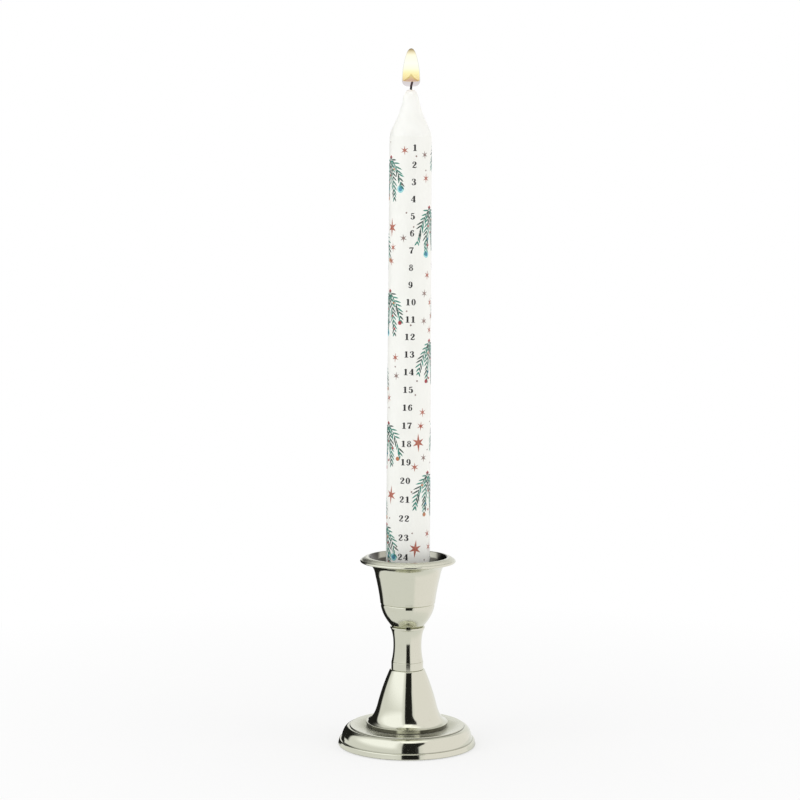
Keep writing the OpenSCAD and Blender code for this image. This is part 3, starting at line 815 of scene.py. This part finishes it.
def mesh_of(shape, name):
    """A mesh made from a finished shape, which is then let go."""
    mesh = bpy.data.meshes.new(name)
    shape.to_mesh(mesh)
    shape.free()
    return mesh


def fused(outlines, name):
    """One closed slab from overlapping strokes, 1 high figure tall and 1 deep."""
    whole = None
    for outline in outlines:
        stroke = placed(name, mesh_of(slabs([outline], 0, 1), name))
        if whole is None:
            whole = stroke
            continue
        join = whole.modifiers.new("join", "BOOLEAN")
        join.operation = "UNION"
        join.solver = "EXACT"
        join.object = stroke
        bpy.context.view_layer.update()
        joined = bpy.data.meshes.new_from_object(whole.evaluated_get(bpy.context.evaluated_depsgraph_get()))
        whole.modifiers.clear()
        whole.data = joined
        bpy.data.objects.remove(stroke)
    mesh = whole.data
    bpy.data.objects.remove(whole)
    return mesh


def wrapped(name, shapes, material, slot):
    """Ink on the film: flat slabs in (along the film, up the candle, lift) cut fine and laid round it."""
    whole = bmesh.new()
    mesh = bpy.data.meshes.new(name)
    for shape in shapes:
        sides = [v.co.x for v in shape.verts]
        first = math.ceil(min(sides) / print_cut)
        last = math.floor(max(sides) / print_cut)
        for step in range(first, last + 1):
            bmesh.ops.bisect_plane(shape, geom=shape.verts[:] + shape.edges[:] + shape.faces[:],
                                   plane_co=(step * print_cut, 0, 0), plane_no=(1, 0, 0), dist=1e-9)
        bmesh.ops.triangulate(shape, faces=[f for f in shape.faces if len(f.verts) > 4])
        for vert in shape.verts:
            vert.co = on_candle(*vert.co)
        shape.to_mesh(mesh)
        shape.free()
        whole.from_mesh(mesh)
    whole.to_mesh(mesh)
    whole.free()
    give(placed(name, mesh), material, "candle", slot)


def ink_finish(name, deep, pale, fade=0.0):
    """Screen-printed ink: a colour that thins out here and there, with a slight satin."""
    ink = Finish(name)
    patches = ink.noise(420, 4, rough=0.65)
    dots = ink.noise(2600, 2)
    share = ink.spread(patches, 0.35, 0.68)
    if fade:
        higher = ink.spread(ink.axes()[2], 0.1, 0.3, 0, fade)
        share = ink.sums("MAXIMUM", ink.sums("MULTIPLY", share, 0.3), higher)
    ink.colour(ink.blend(share, deep, pale))
    ink.drive("Roughness", ink.spread(patches, 0.3, 0.7, 0.38, 0.52))
    ink.drive("Normal", ink.relief(dots, 0.008 * mm, 0.4))
    return ink.material


figure_meshes = {digit: fused(outlines, "figure") for digit, outlines in figures.items()}
numbers = bmesh.new()
number_places = []
number_z = first_number_z
for count in range(24):
    number_u = (first_angle + (last_angle - first_angle) * count / 23) * print_r
    number_places.append((number_u, number_z))
    digits = str(count + 1)
    for place, digit in enumerate(digits):
        start = len(numbers.verts)
        numbers.from_mesh(figure_meshes[digit])
        numbers.verts.ensure_lookup_table()
        left = number_u + (pair_start if len(digits) == 2 else single_start) + place * figure_step
        for vert in numbers.verts[start:]:
            x, y, z = vert.co
            vert.co = (left + x * figure_w, number_z + (y - 0.5) * figure_h, (2 * z - 1) * print_depth)
    number_z -= first_pitch + last_pitch_more * (count / 22) ** pitch_bend
wrapped("printed_numbers", [numbers],
        ink_finish("black_ink", (0.010, 0.009, 0.011, 1), (0.07, 0.067, 0.067, 1), 0.2), "black_ink")


# Stars and specks. Plain six-pointed stars scattered round the film between the twigs, in terracotta and
# grey-brown ink. They are large, small or near a dot, and keep clear of the numbers.
star_sizes = (4.8 * mm, 2.4 * mm, 0.55 * mm, 2.2 * mm, 2.4 * mm, 0.5 * mm)
big_star = 4 * mm
small_star = 1 * mm
largest_brown = 2.2 * mm
star_gap = 0.8 * mm
star_count = 96
star_tries = 14
star_low_z = 84 * mm
star_high_z = 310 * mm
twig_places = [(-66, 289), (63, 264), (-65, 222), (66, 197), (-68, 155), (60, 130), (-77, 103), (118, 300),
               (-112, 254), (126, 226), (-116, 188), (122, 160), (-118, 122), (117, 94), (-166, 290),
               (178, 258), (-170, 222), (176, 190), (-168, 156), (178, 124), (-172, 96)]
twig_reach = (7.4 * mm, 15 * mm)
number_middle = 0.4 * mm
number_half_h = 2.2 * mm
number_half_w = 2.9 * mm
number_clear = 3.1 * mm


def star(x, y, size, lean):
    """Outline of a six-pointed star. Big ones have longer rays up and down, small ones are near a dot."""
    outline = []
    side = 0.72 if size > big_star else 0.94
    waist = 0.7 if size < small_star else 0.27
    for i in range(12):
        reach = (1.0 if i % 6 == 0 else side) if i % 2 == 0 else waist
        turn = math.pi * i / 6 + lean
        outline.append((x + size * reach * math.sin(turn), y + size * reach * math.cos(turn)))
    return outline


def around(first, second):
    """How far apart two places on the film are, the short way round."""
    way = (first - second) % (2 * math.pi * print_r)
    return min(way, 2 * math.pi * print_r - way)


def beside_numbers(u, z, reach):
    """The place along the film, moved sideways where something this large would come close to a number."""
    for nu, nz in number_places:
        away = u - nu - number_middle
        short = number_clear + reach - abs(away)
        if short > 0 and abs(z - nz) < number_half_h + reach:
            return u + math.copysign(short, away)
    return u


red_stars = []
brown_stars = []
star_places = []
picker = random.Random(4)
for i in range(star_count):
    size = star_sizes[i % len(star_sizes)]
    z = star_low_z + size + (star_high_z - star_low_z - 2 * size) * (i + 0.5) / star_count
    for attempt in range(star_tries):
        u = picker.uniform(-1, 1) * (film_half - size)
        by_number = any(around(u, nu + number_middle) < number_half_w + size * 0.62
                        and abs(z - nz) < number_half_h + size for nu, nz in number_places)
        by_twig = any(around(u, math.radians(angle) * print_r) < twig_reach[0] + size * 0.5
                      and abs(z - height * mm) < twig_reach[1] + size * 0.5 for angle, height in twig_places)
        by_star = any(around(u, su) < size + other and abs(z - sz) < size + other + star_gap
                      for su, sz, other in star_places)
        if not (by_number or by_twig or by_star):
            star_places.append((u, z, size))
            target = red_stars if size > largest_brown else brown_stars
            target.append(star(beside_numbers(u, z, size * 0.7), z, size, picker.uniform(-0.12, 0.12)))
            break
wrapped("printed_stars", [slabs(red_stars, -print_depth, print_depth)],
        ink_finish("terracotta_ink", (0.36, 0.072, 0.040, 1), (0.52, 0.19, 0.13, 1)), "red_ink")
wrapped("printed_specks", [slabs(brown_stars, -print_depth, print_depth)],
        ink_finish("grey_brown_ink", (0.19, 0.115, 0.10, 1), (0.34, 0.24, 0.21, 1)), "brown_ink")


# Twigs. Loose bunches of fir twigs that hang from a knot, with berries and small glass balls, painted in
# sea green and printed down both sides and the back of the film.
twig_len = 25 * mm
twig_leans = (-0.46, -0.16, 0.13, 0.42)
stalk_w = 0.17
needle_len = 3.9 * mm
needle_w = 0.78 * mm
needle_gap = 2.1 * mm
layers = 6
layer_step = 0.003 * mm
knot_rise = 12
ball_r = 1.05 * mm
frost_r = 1.9 * mm
berry_r = 0.62 * mm
knot_berry_r = 0.5 * mm
pair_middle = 0.55 * mm
needle_clear_w = 3.0 * mm
needle_clear_h = 2.0 * mm
green_parts = []
dark_parts = []
berries = []
blue_balls = []
pale_discs = []
orange_balls = []


def needle(x, y, turn, length, width):
    """Outline of one needle from its foot, which is at (x, y)."""
    along = Vector((math.sin(turn), math.cos(turn)))
    side = Vector((along.y, -along.x)) * width / 2
    foot = Vector((x, y))
    left = [tuple(foot + along * length * s + side * w) for s, w in ((0, 0.5), (0.35, 1), (0.7, 0.8))]
    right = [tuple(foot + along * length * s - side * w) for s, w in ((0.7, 0.8), (0.35, 1), (0, 0.5))]
    return left + [tuple(foot + along * length)] + right


def on_number(outline):
    """Whether any point of an outline lies on a number, or close to it."""
    return any(around(x, nu + pair_middle) < needle_clear_w and abs(y - nz) < needle_clear_h
               for x, y in outline for nu, nz in number_places)


def layered(shapes, lift):
    """Slabs of which no two that cross are equally high."""
    whole = bmesh.new()
    for layer, outlines in enumerate(shapes):
        mesh = mesh_of(slabs(outlines, -print_depth, print_depth + lift + layer * layer_step), "layer")
        whole.from_mesh(mesh)
        bpy.data.meshes.remove(mesh)
    return whole


for angle, height in twig_places:
    knot = Vector((math.radians(angle) * print_r, (height + knot_rise) * mm))
    size = picker.uniform(0.94, 1.04)
    green_needles = [[] for i in range(layers)]
    dark_needles = [[] for i in range(layers)]
    for number, lean in enumerate(twig_leans):
        length = twig_len * size * picker.uniform(0.86, 1.0) * (1 - abs(lean) * 0.5)
        count = round(length / needle_gap)
        spot = knot.copy()
        stalk = [(*(spot / mm), stalk_w)]
        for i in range(1, count + 1):
            share = i / count
            turn = math.pi + lean * (1.9 - 1.5 * share) + picker.uniform(-0.04, 0.04)
            spot += Vector((math.sin(turn), math.cos(turn))) * length / count
            stalk.append((*(spot / mm), stalk_w - 0.1 * share))
            reach = needle_len * size * (0.5 + 0.6 * math.sin(math.pi * (0.15 + 0.75 * share)))
            for side in (-1, 1):
                needles = dark_needles if (i // 2 + number + (side > 0)) % 3 == 0 else green_needles
                open_by = side * picker.uniform(0.6, 0.9) * (1 - 0.4 * share)
                drawn = needle(*spot, turn + open_by, reach * picker.uniform(0.8, 1.1), needle_w)
                if not on_number(drawn):
                    needles[(i + number) % layers].append(drawn)
        dark_needles[number].append([(x * mm, y * mm) for x, y in pen(*stalk[::3])[0]])
        if number % 2 == 0:
            hang = spot + Vector((picker.uniform(-0.5, 0.5) * mm, -1.5 * mm))
            pick = (number // 2 + height) % 3
            hang.x = beside_numbers(*hang, frost_r if pick == 1 else ball_r)
            (berries, blue_balls, orange_balls)[pick].extend(disc(*hang, ball_r))
            if pick == 1:
                pale_discs += disc(*hang, frost_r)
    for i in range(3):
        berries += disc(knot.x + (i - 1) * 0.8 * mm, knot.y + (0.35 if i == 1 else -0.2) * mm,
                        knot_berry_r)
    for i in range(5):
        spot = knot + Vector((picker.uniform(-4.2, 4.2), -19 + 3.2 * i)) * mm
        spot.x = beside_numbers(*spot, berry_r)
        (blue_balls if i == 1 else berries if i < 4 else orange_balls).extend(disc(*spot, berry_r))
    green_parts.append(layered(green_needles, 0))
    dark_parts.append(layered(dark_needles, layer_step / 2))

wrapped("printed_twigs", green_parts,
        ink_finish("sea_green_ink", (0.012, 0.15, 0.105, 1), (0.04, 0.33, 0.25, 1)), "green_ink")
wrapped("printed_twig_shadows", dark_parts,
        ink_finish("dark_green_ink", (0.010, 0.045, 0.035, 1), (0.035, 0.085, 0.065, 1)), "green_ink")
ball_top = print_depth + (layers + 1) * layer_step
wrapped("printed_frost", [slabs([outline], -print_depth, print_depth - layer_step)
                          for outline in pale_discs],
        ink_finish("frost_blue_ink", (0.20, 0.62, 0.64, 1), (0.42, 0.78, 0.78, 1)), "blue_ink")
wrapped("printed_berries", [slabs(berries, -print_depth, ball_top)],
        ink_finish("berry_red_ink", (0.30, 0.016, 0.028, 1), (0.50, 0.09, 0.09, 1)), "red_ink")
wrapped("printed_blue_balls", [slabs(blue_balls, -print_depth, ball_top + layer_step)],
        ink_finish("blue_ink", (0.015, 0.09, 0.19, 1), (0.08, 0.34, 0.50, 1)), "blue_ink")
wrapped("printed_orange_balls", [slabs(orange_balls, -print_depth, ball_top + 2 * layer_step)],
        ink_finish("orange_ink", (0.45, 0.14, 0.05, 1), (0.60, 0.28, 0.14, 1)), "orange_ink")


# Wick. A plait of three cotton strands, cast into the wax. Its end stands out of the tip, burnt black and
# bent to one side.
wick_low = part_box("wick")[0]
wick_stub = 0.5 * mm
wick_root = 1 * mm
wick_bend_r = 9 * mm
wick_bend = math.radians(24)
wick_rounds = 36
plait_pitch = 1.5 * mm
wick_path = [(Vector((0, 0, wick_low.z)), 0.0)]
straight_end = candle_top_z + wick_stub
wick_steps = 12
for i in range(wick_steps + 1):
    rise = (straight_end - candle_top_z + wick_root) * i / wick_steps
    wick_path.append((Vector((0, 0, candle_top_z - wick_root + rise)), 0.0))
for i in range(1, 3 * wick_steps + 1):
    bend = wick_bend * i / (3 * wick_steps)
    wick_path.append((Vector((wick_bend_r * (1 - math.cos(bend)), 0,
                              straight_end + wick_bend_r * math.sin(bend))), bend))
wick_points = []
wick_faces = []
way = 0.0
for k, (spot, bend) in enumerate(wick_path):
    if k > 1:
        way += (spot - wick_path[k - 1][0]).length
    left_over = (wick_path[-1][0] - spot).length
    taper = min(1.0, 0.35 + left_over / (0.5 * mm))
    for i in range(wick_rounds):
        angle = 2 * math.pi * i / wick_rounds
        strand = abs(math.sin(1.5 * angle + math.pi * way / plait_pitch))
        strand = max(strand, abs(math.sin(1.5 * angle - math.pi * way / plait_pitch)))
        r = wick_r * taper * (0.80 + 0.19 * strand)
        offset = Vector((math.cos(bend), 0, -math.sin(bend))) * math.cos(angle) * r
        wick_points.append(tuple(spot + offset + Vector((0, math.sin(angle) * r, 0))))
    if k:
        for i in range(wick_rounds):
            j = (i + 1) % wick_rounds
            low, high = (k - 1) * wick_rounds, k * wick_rounds
            wick_faces.append((low + i, low + j, high + j, high + i))
wick_faces.append(tuple(range(wick_rounds))[::-1])
wick_faces.append(tuple(range(len(wick_points) - wick_rounds, len(wick_points))))
charred = Finish("charred_cotton")
char_flakes = charred.noise(2600, 4, rough=0.7)
charred.colour(charred.blend(charred.spread(char_flakes, 0.4, 0.75), (0.006, 0.006, 0.006, 1),
                             (0.035, 0.028, 0.024, 1)))
charred.fix(Roughness=0.85, Specular_IOR_Level=0.2)
charred.drive("Normal", charred.relief(char_flakes, 0.05 * mm))
wick_piece = closed_mesh("plaited_wick", wick_points, wick_faces)
give(wick_piece, charred.material, "candle", "burnt_cotton", "wick")


# Flame. Burning gas, so it has no real surface: a bright body of pale yellow with an orange tip, over a
# dim zone round the wick. It is drawn as shells, one inside the other, coloured by height alone.
flame_low, flame_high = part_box("flame")
flame_z = flame_low.z
flame_h = flame_high.z - flame_low.z
flame_r = flame_high.x
flame_wide_at = 0.19
flame_neck_at = 0.8
flame_neck_r = 0.6


def flame_finish(name, stops, opacity):
    """Glowing gas whose colour and cover change with height. Each stop is a height, colour and cover."""
    glow = Finish(name)
    glow.nodes.remove(glow.surface)
    share = glow.spread(glow.axes()[2], flame_z, flame_z + flame_h)
    tones = glow.add("ShaderNodeValToRGB", {"Fac": share})
    cover = glow.add("ShaderNodeValToRGB", {"Fac": share})
    for ramp, picks in ((tones.color_ramp, stops), (cover.color_ramp, opacity)):
        while len(ramp.elements) < len(picks):
            ramp.elements.new(0.5)
        for element, (place, value) in zip(ramp.elements, picks):
            element.position = place
            element.color = value if isinstance(value, tuple) else (value, value, value, 1)
    light = glow.add("ShaderNodeEmission", {"Color": tones.outputs["Color"], "Strength": 1.0})
    clear = glow.add("ShaderNodeBsdfTransparent")
    glow.show(cover.outputs["Color"], clear.outputs[0], light.outputs[0])
    return glow.material


def flame_shell(name, inset, base_share, corner, material):
    """A closed teardrop, drawn in by inset from the flame's own outline. Corner sets its lower edge."""
    base_z = flame_z + flame_h * base_share
    wide_z = flame_z + flame_h * flame_wide_at
    top_z = flame_z + flame_h - inset
    neck_z = flame_z + flame_h * flame_neck_at
    r = flame_r - inset
    side_z = base_z + (wide_z - base_z) * corner
    outline = [(0, base_z)] + curve((0.3 * r, base_z), (r, base_z), (r, side_z), 12)
    outline += curve(outline[-1], (r * 0.97, flame_z + flame_h * 0.5), (r * flame_neck_r, neck_z), 22)[1:]
    outline += curve((r * flame_neck_r, neck_z), (r * 0.36, top_z), (0, top_z), 14)[1:]
    shell = turned(name, outline, 64)
    shell.visible_shadow = False
    give(shell, material, "candle", "flame")
    return shell


def flame_tent(name, apex_share, foot_r, material):
    """The dark zone over the wick: a tent whose sides sag from its point to its foot."""
    foot_z = flame_z + flame_h * 0.145
    apex_z = flame_z + flame_h * apex_share
    outline = [(0, foot_z), (foot_r - 0.3 * mm, foot_z)]
    sag = (foot_r * 0.42, foot_z + 0.3 * (apex_z - foot_z))
    outline += curve((foot_r, foot_z + 0.1 * mm), sag, (0, apex_z), 14)
    tent = turned(name, outline, 48)
    tent.visible_shadow = False
    give(tent, material, "candle", "flame")


rim_stops = ((0.0, (0.26, 0.15, 0.18, 1)), (0.14, (0.30, 0.18, 0.18, 1)), (0.24, (0.66, 0.62, 0.40, 1)),
             (0.60, (0.55, 0.58, 0.44, 1)), (0.88, (0.55, 0.48, 0.30, 1)), (1.0, (0.26, 0.18, 0.09, 1)))
rim_cover = ((0.0, 0.18), (0.14, 0.26), (0.22, 0.24), (0.84, 0.26), (0.94, 0.7), (1.0, 0.95))
body_stops = ((0.10, (0.95, 0.60, 0.12, 1)), (0.20, (1.1, 0.80, 0.15, 1)), (0.32, (1.15, 1.0, 0.42, 1)),
              (0.46, (1.18, 1.18, 0.92, 1)), (0.60, (1.2, 1.2, 1.08, 1)), (0.80, (1.18, 1.18, 0.98, 1)),
              (0.93, (1.15, 1.0, 0.60, 1)), (1.0, (0.62, 0.38, 0.13, 1)))
body_cover = ((0.13, 0.35), (0.24, 0.45), (0.32, 0.6), (0.39, 1.0), (1.0, 1.0))
edge_stops = ((0.0, (0.22, 0.09, 0.025, 1)), (0.36, (0.26, 0.11, 0.02, 1)))
edge_cover = ((0.0, 0.34), (0.36, 0.6))
zone_stops = ((0.0, (0.80, 0.62, 0.90, 1)), (0.3, (0.70, 0.48, 0.70, 1)))
zone_cover = ((0.0, 0.9), (0.3, 0.9))
rim_shell = flame_shell("flame_rim", 0.0, 0.0, 1.0, flame_finish("flame_edge", rim_stops, rim_cover))
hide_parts("flame")
flame_shell("flame_body", 0.35 * mm, 0.13, 0.5, flame_finish("flame_glow", body_stops, body_cover))
flame_tent("flame_tent", 0.345, 4.0 * mm, flame_finish("flame_tent_edge", edge_stops, edge_cover))
flame_tent("flame_dark_zone", 0.285, 3.0 * mm, flame_finish("flame_dark_zone", zone_stops, zone_cover))


# Studio. A white table in a plain white room, with two soft lamps. Round it are the bright cloth of a light
# tent and the dark gaps where it is open, and a painted shadow on the table by the foot; only polished metal
# shows any of them.
floor_r = 4.0
floor_fade = (0.05, 0.40)
floor_near_share = 0.62
floor_mirror_share = 0.9
floor_shadow_ring = (0.038, 0.048, 0.1)
room_light = 0.79

table = Finish("white_table")
table.colour((0.93, 0.93, 0.93, 1))
table.fix(Roughness=0.9, Specular_IOR_Level=0.0)
table_glow = table.add("ShaderNodeEmission", {"Color": (1, 1, 1, 1), "Strength": 1.0})
table_way = table.add("ShaderNodeVectorMath", {0: table.place}, operation="LENGTH").outputs["Value"]
table_path = table.add("ShaderNodeLightPath").outputs
table_far = table.spread(table_way, *floor_fade, floor_near_share)
table_seen = table.sums("MULTIPLY", table_path["Is Camera Ray"], table_far)
table_mirrored = table.sums("MAXIMUM", table_path["Is Glossy Ray"], table_path["Is Transmission Ray"])
# Seen in the metal, the table is painted darker close to the foot's edge: a painted contact shadow.
table_mirror_shade = table.spread(table_way, *floor_shadow_ring, floor_mirror_share)
table_share = table.sums("MAXIMUM", table_seen, table.sums("MULTIPLY", table_mirrored, table_mirror_shade))
table.show(table_share, table.surface.outputs[0], table_glow.outputs[0])
floor_shape = bmesh.new()
bmesh.ops.create_circle(floor_shape, cap_ends=True, radius=floor_r, segments=96)
floor = placed("floor", mesh_of(floor_shape, "floor"))
floor.data.materials.append(table.material)

world = bpy.data.worlds.new("white_room")
world.use_nodes = True
scene.world = world
world_nodes = world.node_tree.nodes
world_links = world.node_tree.links
path = world_nodes.new("ShaderNodeLightPath")
seen = path.outputs["Is Camera Ray"]
for kind in ("Is Glossy Ray", "Is Transmission Ray"):
    either = world_nodes.new("ShaderNodeMath")
    either.operation = "MAXIMUM"
    world_links.new(seen, either.inputs[0])
    world_links.new(path.outputs[kind], either.inputs[1])
    seen = either.outputs[0]
level = world_nodes.new("ShaderNodeMapRange")
level.inputs["To Min"].default_value = room_light
level.inputs["To Max"].default_value = 1.0
world_links.new(seen, level.inputs["Value"])
world_links.new(level.outputs[0], world_nodes["Background"].inputs["Strength"])
world_nodes["Background"].inputs["Color"].default_value = (1, 1, 1, 1)


def soft_lamp(name, place, aim, width, height, radiance, colour=(1, 1, 1)):
    """A flat soft box that shines evenly towards aim."""
    data = bpy.data.lights.new(name, "AREA")
    data.shape = "RECTANGLE"
    data.size = width
    data.size_y = height
    data.energy = radiance * math.pi * width * height
    data.color = colour
    lamp = placed(name, data)
    lamp.location = place
    lamp.rotation_euler = (Vector(aim) - Vector(place)).to_track_quat("-Z", "Y").to_euler()
    lamp.visible_glossy = False


soft_lamp("lamp_left", (-0.95, -0.55, 0.75), (0, 0, 0.15), 0.8, 0.9, 1.35)
soft_lamp("lamp_right", (1.05, -0.45, 0.65), (0, 0, 0.15), 0.8, 0.9, 1.06, (1.0, 0.97, 0.93))


def mirrored_sheet(name, rows, colour, strength, soft_ends, soft_sides):
    """A sheet of the light tent that only polished metal shows. It fades in from its ends and sides."""
    wide = len(rows[0])
    last = len(rows) - 1
    mesh = bpy.data.meshes.new(name)
    mesh.from_pydata([point for row in rows for point in row], [],
                     [(k * wide + i, k * wide + i + 1, (k + 1) * wide + i + 1, (k + 1) * wide + i)
                      for k in range(last) for i in range(wide - 1)])
    fade = mesh.color_attributes.new("fade", "FLOAT_COLOR", "POINT")
    for k in range(last + 1):
        for i in range(wide):
            nearest = [k / last / soft_ends[0], (last - k) / last / soft_ends[1],
                       i / (wide - 1) / soft_sides[0], (wide - 1 - i) / (wide - 1) / soft_sides[1]]
            share = 1
            for edge in nearest:
                held = min(1, edge)
                share *= held * held * (3 - 2 * held)
            fade.data[k * wide + i].color = (share, share, share, 1)
    sheet = Finish(name)
    sheet.nodes.remove(sheet.surface)
    glow = sheet.add("ShaderNodeEmission", {"Color": colour, "Strength": strength})
    clear = sheet.add("ShaderNodeBsdfTransparent")
    share = sheet.add("ShaderNodeAttribute", attribute_name="fade").outputs["Fac"]
    sheet.show(share, clear.outputs[0], glow.outputs[0])
    piece = placed(name, mesh)
    piece.data.materials.append(sheet.material)
    piece.visible_camera = False
    piece.visible_diffuse = False
    piece.visible_shadow = False
    piece.visible_transmission = False


def dome_point(turn, rise, r):
    """A place round the stand, at degrees round from the front to +X and degrees above the table."""
    flat = r * math.cos(math.radians(rise))
    return (flat * math.sin(math.radians(turn)), -flat * math.cos(math.radians(turn)),
            r * math.sin(math.radians(rise)))


sheet_lift = 1 * mm
tent_r = 0.9
tent_dark = (0.02, 0.02, 0.018, 1)
wall_r = 0.60
wall_h = 0.8
slit_near = 0.18
slit_top = 58
slit_left = -9.5
slit_right = ((0, 21), (25, 22), (32, 27), (42, 38), (60, 48))
corner_start = -118
corner_near = 0.034
near_start = -88
near_end = -130
near_from = 0.0345
near_depth = 0.075
right_start = 22
right_turn = 140


def on_table(turn, r, lift=sheet_lift):
    """A place just above the table, at degrees round from the front to +X."""
    return (*dome_point(turn, 0, r)[:2], lift)


def grid(rows, columns, place):
    """Rows of places on a sheet, each from how far along the sheet it is and how far across."""
    return [[place(i / rows, k / columns) for k in range(columns + 1)] for i in range(rows + 1)]


def between(places, at):
    """The value at a place between the given places."""
    for (low, first), (high, last) in zip(places, places[1:]):
        if at <= high:
            return first + (last - first) * (at - low) / (high - low)
    return places[-1][1]


def slit_place(along, across):
    """The open slit at the front: along the table to the wall, then up the wall and wider."""
    rise = slit_top * max(0, 2 * along - 1)
    reach = slit_near + (wall_r - slit_near) * min(1, 2 * along)
    x, y, z = dome_point(slit_left + (between(slit_right, rise) - slit_left) * across, rise, reach)
    return (x, y, z + sheet_lift)


def contact_shadow_place(along, across):
    """A painted contact shadow: the dark patch on the table close to the foot's left, which only metal shows.
    Further out it starts further round.
    """
    reach = near_from + near_depth * along ** 1.5
    start = max(corner_start, near_start - 900 * max(0, reach - 0.038))
    return on_table(start + (near_end - start) * across, reach, sheet_lift / 2)


mirrored_sheet("tent_slit", grid(60, 16, slit_place), tent_dark, 1.0, (0.02, 0.03), (0.06, 0.06))

corner_rows = grid(20, 16, lambda along, across: on_table(
    corner_start - 57 * across, corner_near + (wall_r - corner_near) * along ** 2))
corner_rows += grid(10, 16, lambda along, across: (
    *dome_point(corner_start - 48 * across, 0, wall_r)[:2], wall_h * along))[1:]
mirrored_sheet("tent_back_left", corner_rows, tent_dark, 1.0, (0.03, 0.2), (0.13, 0.06))
# A dark sheet on the table by the foot's left: a painted contact shadow that only metal shows.
mirrored_sheet("painted_contact_shadow", grid(12, 16, contact_shadow_place), tent_dark, 1.0, (0.02, 0.2), (0.08, 0.08))

left_rows = grid(30, 30, lambda along, across: dome_point(-12 - 108 * across, 8 + 74 * along, tent_r))
mirrored_sheet("tent_left", left_rows, (1, 1, 1.04, 1), 1.47, (0.24, 0.2), (0.12, 0.3))
right_rows = grid(23, 30, lambda along, across: on_table(
    right_start + right_turn * across, 0.06 + 0.805 * along))
right_rows += grid(30, 30, lambda along, across: dome_point(
    right_start + right_turn * across, 82 * along, tent_r))
mirrored_sheet("tent_right", right_rows, (1.0, 0.965, 0.985, 1), 1.15, (0.05, 0.2), (0.06, 0.2))
behind_rows = grid(20, 20, lambda along, across: dome_point(135 + 90 * across, 24 + 50 * along, tent_r))
mirrored_sheet("tent_behind", behind_rows, (0.72, 0.72, 0.70, 1), 1.0, (0.2, 0.2), (0.2, 0.2))
top_rows = grid(20, 20, lambda along, across: (-0.17 + 0.6 * across, -0.60 + 0.74 * along, tent_r))
mirrored_sheet("tent_top", top_rows, (1, 1, 1, 1), 1.65, (0.1, 0.16), (0.15, 0.15))
